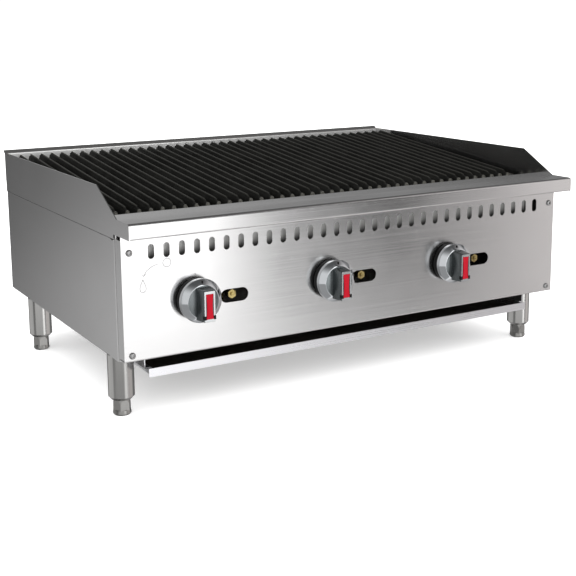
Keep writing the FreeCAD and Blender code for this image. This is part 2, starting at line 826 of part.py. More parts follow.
def leg(x, y):
    taperTop = legShoulder + legTaper
    tube = rod(x, y, taperTop, (0, 0, 1), legRadius, bodyBottom - taperTop)
    shoulder = Part.makeCone(footRadius + 2, legRadius, legTaper, FreeCAD.Vector(x, y, legShoulder))
    stud = rod(x, y, bodyBottom - 1, (0, 0, 1), legStud, legStudRise + 1)
    bore = rod(x, y, legShoulder - 1, (0, 0, 1), footStud + runningGap, footStudTop + 2 - legShoulder)
    return union([tube, shoulder, stud]).cut(bore)


def foot(x, y):
    """A levelling foot: a stud in the leg, a hexagon for the spanner and a flared pad."""
    bottom = footNutBottom
    stud = rod(x, y, bottom - 2, (0, 0, 1), footStud, footStudTop - bottom + 2)
    nut = hexPrism(x, y, planeXY(bottom), footRadius, 0, (0, 0, legShoulder - bottom))
    cone = Part.makeCone(footRadius + 3, footRadius - 2, legShoulder - bottom, FreeCAD.Vector(x, y, bottom))
    pad = Part.makeCone(footRadius - 2.5, footRadius, footPad, FreeCAD.Vector(x, y, 0))
    flare = Part.makeCone(footRadius, footRadius - 1, footFlare, FreeCAD.Vector(x, y, footPad))
    return union([nut.common(cone), pad, flare, stud])


def ridgeTop(y):
    """Height of the grates' ridges, which rise towards the back so that grease runs forward."""
    return grateRidgeHeight + grateSlope * (y - bodyFront - 96.0)


def grateBar(x):
    low = ridgeTop(grateFront) - barHeight
    length = grateBack - grateFront
    half = barBase / 2
    shoulder = barShoulder / 2
    top = low + barBodyHeight
    section = [
        (x - half, low), (x + half, low), (x + half, low + 6), (x + shoulder + 1, top - 6),
        (x + shoulder, top), (x - shoulder, top), (x - shoulder - 1, top - 6), (x - half, low + 6),
    ]
    body = plate(section, planeXZ(grateFront), (0, length, length * grateSlope))
    start = grateFront + ridgeSetback
    end = grateBack - ridgeEndGap
    sink = barHeight - barBodyHeight + 1
    place = planeYZ(x - ridgeWidth / 2)
    curve = Part.Arc(
        place(start, ridgeTop(start) - sink),
        place(start + 2.0, ridgeTop(start + 2.0) - 2.2),
        place(start + ridgeCurve, ridgeTop(start + ridgeCurve)),
    ).toShape()
    loop = [
        (start + ridgeCurve, ridgeTop(start + ridgeCurve)),
        (end, ridgeTop(end)),
        (end, ridgeTop(end) - sink),
        (start, ridgeTop(start) - sink),
    ]
    edges = [curve] + [Part.makeLine(place(*a), place(*b)) for a, b in zip(loop, loop[1:])]
    ridge = Part.Face(Part.Wire(edges)).extrude(FreeCAD.Vector(ridgeWidth, 0, 0))
    return [body, ridge]


def grate(index):
    """One cast section: sloping bars, ribs across their undersides and a flat foot at each end."""
    first = (index - grateCount / 2) * barsPerGrate * barPitch + barPitch / 2
    xs = [first + i * barPitch for i in range(barsPerGrate)]
    pieces = []
    for x in xs:
        pieces += grateBar(x)
    left = xs[0] - barBase / 2
    right = xs[-1] + barBase / 2
    run = grateBack - grateFront - 2 * ribInset
    width, height = ribSize
    for i in range(ribCount):
        y = grateFront + ribInset + run * i / (ribCount - 1)
        low = ridgeTop(y) - barHeight
        pieces.append(box(left, right, y - width / 2, y + width / 2, low + 0.5, low + 0.5 + height))
    for y, top in ((frontFoot, frontRestTop), (rearFoot, rearRestTop)):
        low = ridgeTop(y) - barHeight
        pieces.append(box(left, right, y, y + footDepth, top, low + 5))
    return union(pieces)


def save(name, shape):
    shape.exportStep("parts/" + name + ".step")


rightPanel = sidePanel()
save("right_side_panel", rightPanel)
save("left_side_panel", mirrored(rightPanel))
save("back_panel", backPanel())
save("base_frame", baseFrame())
save("front_panel", frontPanel())
screws = [panelScrew(side * screwAcross, z) for side in (-1, 1) for z in screwHeights]
save("front_panel_screws", Part.makeCompound(screws))
save("front_rail", frontRail())
rightSplash = sideSplash()
save("right_splash", rightSplash)
save("left_splash", mirrored(rightSplash))
save("back_splash", backSplash())

rightLiner = sideLiner()
save("right_liner", rightLiner)
save("left_liner", mirrored(rightLiner))
save("front_liner", frontLiner())
save("rear_liner", rearLiner())
save("grate_rests", grateRests())
save("grease_trough", greaseTrough())
save("burner_saddle", burnerSaddle())

save("gas_manifold", gasManifold())
save("gas_inlet_pipe", gasInletPipe())
save("orifice_hoods", Part.makeCompound([orificeHood(c) for c in burnerCentres]))
save("pilot_valves", Part.makeCompound([pilotValve(c) for c in burnerCentres]))
save("pilot_burners", Part.makeCompound([pilotBurner(c) for c in burnerCentres]))

for number, centre in enumerate(burnerCentres, 1):
    save(f"radiant_{number}", radiant(centre))
    save(f"burner_{number}", burner(centre))
    save(f"air_shutter_{number}", airShutter(centre))
    save(f"valve_body_{number}", valveBody(centre))
    save(f"valve_stem_{number}", valveStem(centre))
    save(f"knob_{number}", knob(centre))
    save(f"knob_insert_{number}", knobInsert(centre))

save("drip_tray", dripTray())
save("tray_hangers", trayHangers())
legNames = ["front_left", "front_right", "back_left", "back_right"]
for name, (x, y) in zip(legNames, legPlaces()):
    save("leg_" + name, leg(x, y))
    save("foot_" + name, foot(x, y))

for index in range(grateCount):
    save(f"grate_{index + 1}", grate(index))
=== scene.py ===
import json
import math

import bmesh
import bpy
from mathutils import Matrix, Vector


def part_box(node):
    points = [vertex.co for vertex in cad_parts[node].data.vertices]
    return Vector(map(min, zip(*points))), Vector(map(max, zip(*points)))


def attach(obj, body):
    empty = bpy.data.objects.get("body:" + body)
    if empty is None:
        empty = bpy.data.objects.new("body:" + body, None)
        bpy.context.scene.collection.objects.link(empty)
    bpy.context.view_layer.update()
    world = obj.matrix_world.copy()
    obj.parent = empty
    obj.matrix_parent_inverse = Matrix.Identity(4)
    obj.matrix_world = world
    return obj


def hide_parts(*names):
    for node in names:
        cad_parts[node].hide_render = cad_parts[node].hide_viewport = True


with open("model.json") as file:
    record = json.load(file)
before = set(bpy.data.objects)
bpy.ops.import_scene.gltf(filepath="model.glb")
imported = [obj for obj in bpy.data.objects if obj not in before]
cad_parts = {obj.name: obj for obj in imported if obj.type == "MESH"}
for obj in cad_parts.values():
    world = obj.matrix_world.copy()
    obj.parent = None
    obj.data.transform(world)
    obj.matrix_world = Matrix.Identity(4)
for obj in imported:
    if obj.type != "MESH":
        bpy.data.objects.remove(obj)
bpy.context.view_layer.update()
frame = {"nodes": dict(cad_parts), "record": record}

nodes = frame["nodes"]
scene = bpy.context.scene
scene.view_settings.view_transform = "Standard"

# Camera, floor and light

shot = {
    "place": (-1.0660, -1.8726, 0.6466),
    "yaw": 30.12,  # degrees to the right of straight ahead
    "pitch": 10.326,  # degrees downwards
    "roll": -0.468,
    "lens": 68.0,
    "shift": -0.12,
}


def setCamera():
    yaw = math.radians(shot["yaw"])
    pitch = math.radians(shot["pitch"])
    roll = math.radians(shot["roll"])
    ahead = Vector((math.sin(yaw) * math.cos(pitch), math.cos(yaw) * math.cos(pitch), -math.sin(pitch)))
    level = Vector((math.cos(yaw), -math.sin(yaw), 0.0))
    right = level * math.cos(roll) + level.cross(ahead) * math.sin(roll)
    up = right.cross(ahead)
    camera = bpy.data.objects.new("shotCamera", bpy.data.cameras.new("shotCamera"))
    scene.collection.objects.link(camera)
    camera.matrix_world = Matrix((
        (right.x, up.x, -ahead.x, shot["place"][0]),
        (right.y, up.y, -ahead.y, shot["place"][1]),
        (right.z, up.z, -ahead.z, shot["place"][2]),
        (0.0, 0.0, 0.0, 1.0),
    ))
    camera.data.lens = shot["lens"]
    camera.data.shift_y = shot["shift"]
    camera.data.clip_end = 100.0
    scene.camera = camera


# Node helpers

def addNode(tree, kind, **values):
    made = tree.nodes.new(kind)
    for key, value in values.items():
        setattr(made, key, value)
    return made


def wire(tree, source, target):
    tree.links.new(source, target)


def feed(tree, socket, value):
    if isinstance(value, bpy.types.NodeSocket):
        tree.links.new(value, socket)
    else:
        socket.default_value = value


def mathOf(tree, operation, a, b=None):
    made = addNode(tree, "ShaderNodeMath", operation=operation)
    feed(tree, made.inputs[0], a)
    if b is not None:
        feed(tree, made.inputs[1], b)
    return made.outputs[0]


def timesOf(tree, a, b):
    return mathOf(tree, "MULTIPLY", a, b)


def sumOf(tree, a, b):
    return mathOf(tree, "ADD", a, b)


def objectPlace(tree):
    return addNode(tree, "ShaderNodeTexCoord").outputs["Object"]


def splitOf(tree, vector):
    made = addNode(tree, "ShaderNodeSeparateXYZ")
    wire(tree, vector, made.inputs[0])
    return made.outputs


def gridOf(tree, x, y):
    made = addNode(tree, "ShaderNodeCombineXYZ")
    wire(tree, x, made.inputs[0])
    wire(tree, y, made.inputs[1])
    return made.outputs[0]


def scaledPlace(tree, scale):
    made = addNode(tree, "ShaderNodeVectorMath", operation="SCALE")
    wire(tree, objectPlace(tree), made.inputs[0])
    wire(tree, scale, made.inputs["Scale"])
    return made.outputs[0]


def rangeOf(tree, value, low, high, toLow=0.0, toHigh=1.0, smooth=True):
    made = addNode(tree, "ShaderNodeMapRange", interpolation_type="SMOOTHSTEP" if smooth else "LINEAR")
    feed(tree, made.inputs["Value"], value)
    feed(tree, made.inputs["From Min"], low)
    feed(tree, made.inputs["From Max"], high)
    feed(tree, made.inputs["To Min"], toLow)
    feed(tree, made.inputs["To Max"], toHigh)
    return made.outputs["Result"]


def blendOf(tree, amount, a, b):
    made = addNode(tree, "ShaderNodeMix", data_type="RGBA")
    feed(tree, made.inputs[0], amount)
    feed(tree, made.inputs[6], a)
    feed(tree, made.inputs[7], b)
    return made.outputs[2]


def mixOf(tree, amount, a, b):
    made = addNode(tree, "ShaderNodeMix", data_type="FLOAT")
    feed(tree, made.inputs[0], amount)
    feed(tree, made.inputs[2], a)
    feed(tree, made.inputs[3], b)
    return made.outputs[0]


def rampOf(tree, value, stops):
    made = addNode(tree, "ShaderNodeValToRGB")
    ramp = made.color_ramp
    while len(ramp.elements) < len(stops):
        ramp.elements.new(0.5)
    for element, (place, colour) in zip(ramp.elements, stops):
        element.position = place
        element.color = tuple(colour) + (1.0,)
    feed(tree, made.inputs["Fac"], value)
    return made.outputs["Color"]


def noiseOf(tree, vector, scale, detail=3.0, rough=0.5, seed=0.0):
    made = addNode(tree, "ShaderNodeTexNoise", noise_dimensions="4D")
    feed(tree, made.inputs["Vector"], vector)
    made.inputs["Scale"].default_value = scale
    made.inputs["Detail"].default_value = detail
    made.inputs["Roughness"].default_value = rough
    made.inputs["W"].default_value = seed
    return made.outputs["Fac"]


def rgb(colour):
    return tuple(colour) + (1.0,)


# Studio

studio = {
    "floorSize": 30.0,
    "floorTone": (0.88, 0.88, 0.88),
    "floorGlow": 0.42,  # keeps the shadows pale
    "overhead": 0.12,  # how bright the reflections from above are
    "behindNear": 0.46,
    "behindFar": 0.21,
    "leftFar": 0.10,
    "leftNear": 0.70,
    "front": 2.30,
    "frontWide": 0.90,
    "peakFrom": (6.0, 17.0),  # angles over which the front wall grows brightest
    "gap": 0.05,  # the dark strip between the two bright walls
    "right": 0.92,
    "rightTint": (1.0, 0.955, 0.945),
    "below": 1.06,
    "belowLeft": 0.40,
    "belowRight": 0.66,
    "bandLeft": -64.0,  # the bright front wall, in degrees from straight ahead of the panel
    "bandFade": (24.5, 30.5),
    "rightFade": (36.5, 44.5),
    "belowFrom": (4.0, 12.0),
    "belowTo": (30.0, 46.0),
    "bandStart": (0.25, 0.1),  # radians before and after the band's left end
    "frontReach": (-0.25, 0.15),  # the spans from here on are parts of the direction's length
    "behindSpan": (0.25, 0.75),
    "leftSpan": (-0.42, -0.20),
    "lowSpan": (-0.26, -0.12),
    "lowTone": 0.45,
    "middleSpan": (-0.12, 0.12),
    "highBehind": (0.16, 0.55),
    "highFront": (0.40, 0.88),
    "horizon": (-0.245, -0.29),
    "backdrop": 1.08,
}


def makeWorld():
    world = bpy.data.worlds.new("studioWorld")
    scene.world = world
    world.use_nodes = True
    tree = world.node_tree
    tree.nodes.clear()
    x, y, z = splitOf(tree, addNode(tree, "ShaderNodeTexCoord").outputs["Generated"])
    turn = mathOf(tree, "ARCTAN2", x, timesOf(tree, y, -1.0))

    def overAngles(key, low=0.0, high=1.0):
        return rangeOf(tree, turn, *map(math.radians, studio[key]), low, high)

    left = math.radians(studio["bandLeft"])
    before, after = studio["bandStart"]
    rising = rangeOf(tree, turn, left - before, left + after)
    band = timesOf(tree, rising, overAngles("bandFade", 1.0, 0.0))
    beside = overAngles("rightFade", studio["gap"], studio["right"])
    frontTone = overAngles("peakFrom", studio["frontWide"], studio["front"])
    wall = mixOf(tree, band, beside, frontTone)
    frontish = rangeOf(tree, y, *studio["frontReach"], 1.0, 0.0)
    right = rangeOf(tree, x, *studio["behindSpan"], studio["behindNear"], studio["behindFar"])
    leftWall = rangeOf(tree, x, *studio["leftSpan"], studio["leftNear"], studio["leftFar"])
    lowLeft = timesOf(tree, leftWall, rangeOf(tree, z, *studio["lowSpan"], 1.0, studio["lowTone"]))
    behind = mixOf(tree, rangeOf(tree, x, *studio["middleSpan"]), lowLeft, right)
    level = mixOf(tree, frontish, behind, wall)
    highBehind = rangeOf(tree, z, *studio["highBehind"])
    high = mixOf(tree, frontish, highBehind, rangeOf(tree, z, *studio["highFront"]))
    lifted = mixOf(tree, high, level, studio["overhead"])
    under = timesOf(tree, rangeOf(tree, z, *studio["horizon"]), frontish)
    floorLeft = mixOf(tree, overAngles("belowFrom"), studio["belowLeft"], studio["below"])
    floorTone = mixOf(tree, overAngles("belowTo"), floorLeft, studio["belowRight"])
    lower = mixOf(tree, under, lifted, floorTone)
    seen = addNode(tree, "ShaderNodeLightPath").outputs["Is Camera Ray"]
    strength = mixOf(tree, seen, lower, studio["backdrop"])
    back = addNode(tree, "ShaderNodeBackground")
    tinted = timesOf(tree, overAngles("rightFade"), frontish)
    wire(tree, blendOf(tree, tinted, (1.0, 1.0, 1.0, 1.0), rgb(studio["rightTint"])), back.inputs["Color"])
    wire(tree, strength, back.inputs["Strength"])
    out = addNode(tree, "ShaderNodeOutputWorld")
    wire(tree, back.outputs[0], out.inputs["Surface"])


def makeFloor():
    half = studio["floorSize"] / 2
    mesh = bpy.data.meshes.new("studioFloor")
    corners = [(-half, -half, 0), (half, -half, 0), (half, half, 0), (-half, half, 0)]
    mesh.from_pydata(corners, [], [(0, 1, 2, 3)])
    floor = bpy.data.objects.new("studioFloor", mesh)
    scene.collection.objects.link(floor)
    material = bpy.data.materials.new("paleFloor")
    material.use_nodes = True
    shader = material.node_tree.nodes["Principled BSDF"]
    shader.inputs["Base Color"].default_value = rgb(studio["floorTone"])
    shader.inputs["Roughness"].default_value = 0.9
    shader.inputs["Emission Color"].default_value = (1.0, 1.0, 1.0, 1.0)
    shader.inputs["Emission Strength"].default_value = studio["floorGlow"]
    mesh.materials.append(material)
    floor.visible_glossy = False


lamps = {
    "skySheet": {"aim": (0.08, 0.12, -1.0), "spread": 120.0, "power": 4.6},
    "frontSheet": {"aim": (0.35, 1.0, -0.45), "spread": 70.0, "power": 0.9},
}


def makeLamps():
    # Broad even light from far away, left out of mirror-like reflections
    for name, lamp in lamps.items():
        data = bpy.data.lights.new(name, "SUN")
        data.angle = math.radians(lamp["spread"])
        data.energy = lamp["power"]
        holder = bpy.data.objects.new(name, data)
        scene.collection.objects.link(holder)
        holder.rotation_euler = Vector(lamp["aim"]).to_track_quat("-Z", "Y").to_euler()
        holder.visible_glossy = False


setCamera()
makeWorld()
makeFloor()
makeLamps()
print("stage: camera, floor and lights are set")


# Shader groups that several finishes share

def shaderGroup(name, inputs, outputs):
    tree = bpy.data.node_groups.new(name, "ShaderNodeTree")
    for label, kind, value in inputs:
        socket = tree.interface.new_socket(label, in_out="INPUT", socket_type=kind)
        socket.default_value = value
    for label, kind in outputs:
        tree.interface.new_socket(label, in_out="OUTPUT", socket_type=kind)
    entry = tree.nodes.new("NodeGroupInput")
    leave = tree.nodes.new("NodeGroupOutput")
    return tree, entry, leave


def makeSheetGrain():
    # Fine scratches that run level along a sheet, whichever way the sheet faces
    tree, entry, leave = shaderGroup(
        "sheetGrain",
        [("Length", "NodeSocketFloat", 6.0), ("Fineness", "NodeSocketFloat", 900.0)],
        [("Streak", "NodeSocketFloat"), ("Height", "NodeSocketFloat")],
    )
    coordinates = addNode(tree, "ShaderNodeTexCoord")
    x, y, z = splitOf(tree, coordinates.outputs["Object"])
    facing = splitOf(tree, coordinates.outputs["Normal"])[0]
    sideways = mathOf(tree, "GREATER_THAN", mathOf(tree, "ABSOLUTE", facing), 0.6)
    along = mixOf(tree, sideways, x, y)
    across = mixOf(tree, sideways, sumOf(tree, z, y), z)
    grid = gridOf(tree, timesOf(tree, along, entry.outputs["Length"]),
                  timesOf(tree, across, entry.outputs["Fineness"]))
    fine = noiseOf(tree, grid, 1.0, 4.0, 0.65, 1.7)
    broad = noiseOf(tree, grid, 0.22, 2.0, 0.5, 5.1)
    both = sumOf(tree, timesOf(tree, fine, 0.7), timesOf(tree, broad, 0.3))
    wire(tree, rangeOf(tree, both, 0.3, 0.7), leave.inputs["Streak"])
    wire(tree, fine, leave.inputs["Height"])
    return tree


def makeHandling():
    # Wiped smears and faint cloudy marks left by cleaning
    tree, entry, leave = shaderGroup(
        "handling",
        [("Scale", "NodeSocketFloat", 6.0), ("Amount", "NodeSocketFloat", 0.5)],
        [("Cloud", "NodeSocketFloat"), ("Spots", "NodeSocketFloat")],
    )
    scaled = scaledPlace(tree, entry.outputs["Scale"])
    cloud = noiseOf(tree, scaled, 1.0, 4.0, 0.55, 3.3)
    spots = noiseOf(tree, scaled, 14.0, 2.0, 0.5, 8.2)
    wire(tree, timesOf(tree, rangeOf(tree, cloud, 0.35, 0.75), entry.outputs["Amount"]),
         leave.inputs["Cloud"])
    wire(tree, timesOf(tree, rangeOf(tree, spots, 0.62, 0.74), entry.outputs["Amount"]),
         leave.inputs["Spots"])
    return tree


def makeCastSkin():
    # The sandy, slightly pitted skin of cast iron
    tree, entry, leave = shaderGroup(
        "castSkin",
        [("Scale", "NodeSocketFloat", 260.0)],
        [("Height", "NodeSocketFloat"), ("Patch", "NodeSocketFloat")],
    )
    scaled = scaledPlace(tree, entry.outputs["Scale"])
    sand = noiseOf(tree, scaled, 2.4, 3.0, 0.6, 2.0)
    lumps = noiseOf(tree, scaled, 0.35, 2.0, 0.5, 6.0)
    pits = addNode(tree, "ShaderNodeTexVoronoi", feature="F1")
    wire(tree, scaled, pits.inputs["Vector"])
    pits.inputs["Scale"].default_value = 0.9
    dimple = rangeOf(tree, pits.outputs["Distance"], 0.0, 0.25, -0.5, 0.0)
    height = sumOf(tree, sumOf(tree, sand, timesOf(tree, lumps, 1.4)), dimple)
    wire(tree, height, leave.inputs["Height"])
    wire(tree, rangeOf(tree, noiseOf(tree, scaled, 0.08, 3.0, 0.6, 9.0), 0.35, 0.65),
         leave.inputs["Patch"])
    return tree


def makeHeatStain():
    # Straw, brown and blue oxide bands that drift along a heated piece
    tree, entry, leave = shaderGroup(
        "heatStain",
        [("Heat", "NodeSocketFloat", 0.5)],
        [("Color", "NodeSocketColor")],
    )
    drift = noiseOf(tree, objectPlace(tree), 14.0, 3.0, 0.55, 4.4)
    heat = sumOf(tree, entry.outputs["Heat"], timesOf(tree, drift, 0.5))
    colour = rampOf(tree, mathOf(tree, "SUBTRACT", heat, 0.25), [
        (0.0, (0.42, 0.41, 0.40)),
        (0.25, (0.46, 0.38, 0.25)),
        (0.5, (0.30, 0.19, 0.13)),
        (0.72, (0.16, 0.17, 0.26)),
        (1.0, (0.13, 0.12, 0.12)),
    ])
    wire(tree, colour, leave.inputs["Color"])
    return tree


sheetGrain = makeSheetGrain()
handling = makeHandling()
castSkin = makeCastSkin()
heatStain = makeHeatStain()


def place(tree, group, **values):
    made = addNode(tree, "ShaderNodeGroup", node_tree=group)
    for key, value in values.items():
        feed(tree, made.inputs[key], value)
    return made


def shaderOf(material):
    return material.node_tree.nodes["Principled BSDF"]


def startFinish(name, metallic=0.0):
    material = bpy.data.materials.new(name)
    material.use_nodes = True
    shader = shaderOf(material)
    shader.inputs["Metallic"].default_value = metallic
    return material, material.node_tree, shader


def bump(tree, shader, height, strength, distance):
    made = addNode(tree, "ShaderNodeBump")
    made.inputs["Strength"].default_value = strength
    made.inputs["Distance"].default_value = distance
    wire(tree, height, made.inputs["Height"])
    wire(tree, made.outputs["Normal"], shader.inputs["Normal"])


# Finishes

def objectAxis(tree, axis):
    return splitOf(tree, objectPlace(tree))[axis]


def brushedSteel(name, dark, light, rough, spread, length=3.0, fineness=2200.0, smear=0.06, stretch=0.55):
    # Satin stainless sheet with level scratches, wiped smears and a few dull spots
    material, tree, shader = startFinish(name, 1.0)
    grain = place(tree, sheetGrain, Length=length, Fineness=fineness)
    marks = place(tree, handling, Scale=5.0, Amount=1.0)
    tone = blendOf(tree, grain.outputs["Streak"], rgb(dark), rgb(light))
    smeared = timesOf(tree, marks.outputs["Cloud"], smear)
    dull = blendOf(tree, smeared, tone, (0.42, 0.42, 0.42, 1.0))
    wire(tree, dull, shader.inputs["Base Color"])
    streaky = rangeOf(tree, grain.outputs["Streak"], 0.0, 1.0, rough, rough + spread)
    cloudy = sumOf(tree, streaky, timesOf(tree, marks.outputs["Cloud"], 0.05))
    wire(tree, sumOf(tree, cloudy, timesOf(tree, marks.outputs["Spots"], 0.03)),
         shader.inputs["Roughness"])
    shader.inputs["Anisotropic"].default_value = stretch
    shader.inputs["Anisotropic Rotation"].default_value = 0.25
    tangent = addNode(tree, "ShaderNodeTangent", direction_type="RADIAL", axis="Z")
    wire(tree, tangent.outputs[0], shader.inputs["Tangent"])
    bump(tree, shader, grain.outputs["Height"], 0.03, 0.00005)
    return material


traySizes = {
    "flange": 0.0090,
    "facePlaces": (0.0016, 0.0030),
    "wallPlaces": (0.0006, 0.0002),
}


def trayFinish():
    # Brushed outside; inside the basin the colour is darkened almost to black and mottled: painted shade for the
    # cavity under the cabinet
    material = brushedSteel("traySteel", (0.72, 0.72, 0.745), (0.78, 0.78, 0.80), 0.24, 0.05)
    tree = material.node_tree
    shader = shaderOf(material)
    clean = shader.inputs["Base Color"].links[0].from_socket
    smooth = shader.inputs["Roughness"].links[0].from_socket
    lo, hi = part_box("drip_tray")
    near, far = traySizes["facePlaces"]
    behindFace = rangeOf(tree, objectAxis(tree, 1), lo.y + near, lo.y + far)
    half = hi.x - traySizes["flange"]
    inner, outer = traySizes["wallPlaces"]
    across = mathOf(tree, "ABSOLUTE", objectAxis(tree, 0))
    between = rangeOf(tree, across, half - inner, half - outer, 1.0, 0.0)
    inside = timesOf(tree, behindFace, between)
    basinMottle = noiseOf(tree, objectPlace(tree), 30.0, 5.0, 0.6, 2.6)
    # Painted shade: the basin's inside is darkened, mottled by noise, where the cabinet shades it
    basinShade = blendOf(tree, basinMottle, (0.012, 0.010, 0.009, 1.0), (0.05, 0.038, 0.03, 1.0))
    wire(tree, blendOf(tree, inside, clean, basinShade), shader.inputs["Base Color"])
    basinMottleRough = rangeOf(tree, basinMottle, 0.3, 0.7, 0.30, 0.55)
    wire(tree, mixOf(tree, inside, smooth, basinMottleRough), shader.inputs["Roughness"])
    metallic = mathOf(tree, "SUBTRACT", 1.0, timesOf(tree, inside, 0.8))
    wire(tree, metallic, shader.inputs["Metallic"])
    return material


def spangledSteel():
    # Zinc crystals on the hidden mill-finish sheets
    material, tree, shader = startFinish("spangledSteel", 1.0)
    coordinates = objectPlace(tree)
    crystals = addNode(tree, "ShaderNodeTexVoronoi", feature="F1")
    wire(tree, coordinates, crystals.inputs["Vector"])
    crystals.inputs["Scale"].default_value = 75.0
    split = addNode(tree, "ShaderNodeSeparateColor")
    wire(tree, crystals.outputs["Color"], split.inputs[0])
    frost = noiseOf(tree, coordinates, 420.0, 2.0, 0.5, 1.0)
    tone = blendOf(tree, split.outputs[0], (0.40, 0.41, 0.43, 1.0), (0.62, 0.63, 0.64, 1.0))
    wire(tree, blendOf(tree, timesOf(tree, frost, 0.25), tone, (0.3, 0.31, 0.32, 1.0)),
         shader.inputs["Base Color"])
    wire(tree, rangeOf(tree, split.outputs[1], 0.0, 1.0, 0.34, 0.52), shader.inputs["Roughness"])
    bump(tree, shader, frost, 0.08, 0.0002)
    return material


def smokedSteel():
    # Aluminised sheet, browned upwards by smoke
    material, tree, shader = startFinish("smokedSteel")
    grain = place(tree, sheetGrain, Length=8.0, Fineness=500.0)
    coordinates = objectPlace(tree)
    cloud = noiseOf(tree, coordinates, 9.0, 5.0, 0.6, 7.5)
    base = blendOf(tree, grain.outputs["Streak"], (0.33, 0.32, 0.31, 1.0), (0.46, 0.45, 0.43, 1.0))
    climb = sumOf(tree, timesOf(tree, objectAxis(tree, 2), 2.2), cloud)
    smoke = rangeOf(tree, climb, 0.75, 1.45)
    wire(tree, blendOf(tree, timesOf(tree, smoke, 0.75), base, (0.07, 0.055, 0.045, 1.0)),
         shader.inputs["Base Color"])
    wire(tree, rangeOf(tree, cloud, 0.3, 0.7, 0.36, 0.6), shader.inputs["Roughness"])
    wire(tree, rangeOf(tree, smoke, 0.0, 1.0, 1.0, 0.5), shader.inputs["Metallic"])
    bump(tree, shader, grain.outputs["Height"], 0.1, 0.0003)
    return material


def heatedSteel(name, low, high, strongest):
    # Oxide colours that deepen from the low to the high height of the piece
    material, tree, shader = startFinish(name, 1.0)
    heat = rangeOf(tree, objectAxis(tree, 2), low, high, 0.05, strongest)
    stain = place(tree, heatStain, Heat=heat)
    grain = place(tree, sheetGrain, Length=10.0, Fineness=700.0)
    wire(tree, blendOf(tree, timesOf(tree, grain.outputs["Streak"], 0.2), stain.outputs["Color"],
                       (0.5, 0.48, 0.45, 1.0)), shader.inputs["Base Color"])
    wire(tree, rangeOf(tree, grain.outputs["Streak"], 0.0, 1.0, 0.30, 0.46), shader.inputs["Roughness"])
    bump(tree, shader, grain.outputs["Height"], 0.1, 0.0002)
    return material


ironTones = {
    "valley": (0.0035, 0.0035, 0.003),
    "skin": (0.008, 0.008, 0.007),
    # The crest tone is wear plus a painted highlight; the nose tone is a painted highlight
    "rubbedAndHighlight": (0.050, 0.049, 0.043),
    "nose": (0.20, 0.195, 0.175),
}


def castIron(slope, ridgeFoot, ridgeTop, noseY):
    # Black seasoned iron. The ridge crests that the food touches are lighter, as wear plus a painted highlight,
    # and the bar noses carry a pale painted highlight
    material, tree, shader = startFinish("seasonedIron")
    skin = place(tree, castSkin, Scale=240.0)
    rise = mathOf(tree, "SUBTRACT", objectAxis(tree, 2), timesOf(tree, objectAxis(tree, 1), slope))
    crest = rangeOf(tree, rise, ridgeFoot, ridgeTop)
    dark = blendOf(tree, skin.outputs["Patch"], rgb(ironTones["valley"]), rgb(ironTones["skin"]))
    wornAndHighlit = blendOf(tree, timesOf(tree, crest, 0.85), dark, rgb(ironTones["rubbedAndHighlight"]))
    # Painted highlight: the bar noses are coloured pale for the light their front edges catch
    nose = rangeOf(tree, objectAxis(tree, 1), noseY + 0.0010, noseY + 0.0070, 1.0, 0.0)
    wire(tree, blendOf(tree, nose, wornAndHighlit, rgb(ironTones["nose"])), shader.inputs["Base Color"])
    shine = mathOf(tree, "MAXIMUM", crest, nose)
    wire(tree, rangeOf(tree, shine, 0.0, 1.0, 0.62, 0.40), shader.inputs["Roughness"])
    wire(tree, rangeOf(tree, shine, 0.0, 1.0, 0.1, 0.7), shader.inputs["Metallic"])
    shader.inputs["Specular IOR Level"].default_value = 0.4
    bump(tree, shader, skin.outputs["Height"], 0.35, 0.0005)
    return material


def blackPipe():
    # Mill scale on gas pipe, with rust freckles
    material, tree, shader = startFinish("blackPipe")
    skin = place(tree, castSkin, Scale=180.0)
    coordinates = objectPlace(tree)
    freckle = rangeOf(tree, noiseOf(tree, coordinates, 120.0, 4.0, 0.6, 3.1), 0.62, 0.74)
    dark = blendOf(tree, skin.outputs["Patch"], (0.018, 0.018, 0.019, 1.0), (0.05, 0.05, 0.052, 1.0))
    wire(tree, blendOf(tree, timesOf(tree, freckle, 0.5), dark, (0.12, 0.05, 0.025, 1.0)),
         shader.inputs["Base Color"])
    wire(tree, rangeOf(tree, skin.outputs["Patch"], 0.0, 1.0, 0.38, 0.6), shader.inputs["Roughness"])
    shader.inputs["Metallic"].default_value = 0.5
    bump(tree, shader, skin.outputs["Height"], 0.25, 0.0004)
    return material


def brass():
    material, tree, shader = startFinish("machinedBrass", 1.0)
    coordinates = objectPlace(tree)
    tarnish = noiseOf(tree, coordinates, 70.0, 4.0, 0.6, 5.9)
    tool = addNode(tree, "ShaderNodeTexWave", wave_type="BANDS", bands_direction="Y")
    wire(tree, coordinates, tool.inputs["Vector"])
    tool.inputs["Scale"].default_value = 420.0
    dulled = rangeOf(tree, tarnish, 0.35, 0.75)
    wire(tree, blendOf(tree, dulled, (0.50, 0.40, 0.17, 1.0), (0.22, 0.16, 0.07, 1.0)),
         shader.inputs["Base Color"])
    wire(tree, rangeOf(tree, tarnish, 0.3, 0.7, 0.20, 0.42), shader.inputs["Roughness"])
    bump(tree, shader, tool.outputs["Fac"], 0.06, 0.0001)
    return material


def turnedMetal(name, dark, light, rough, axis="Y", pitch=500.0):
    # Fine tool rings round a turned piece
    material, tree, shader = startFinish(name, 1.0)
    coordinates = objectPlace(tree)
    rings = addNode(tree, "ShaderNodeTexWave", wave_type="BANDS", bands_direction=axis)
    wire(tree, coordinates, rings.inputs["Vector"])
    rings.inputs["Scale"].default_value = pitch
    rings.inputs["Distortion"].default_value = 1.5
    cloud = noiseOf(tree, coordinates, 40.0, 3.0, 0.5, 6.6)
    wire(tree, blendOf(tree, cloud, rgb(dark), rgb(light)), shader.inputs["Base Color"])
    wire(tree, rangeOf(tree, cloud, 0.3, 0.7, rough, rough + 0.14), shader.inputs["Roughness"])
    bump(tree, shader, rings.outputs["Fac"], 0.06, 0.0001)
    return material


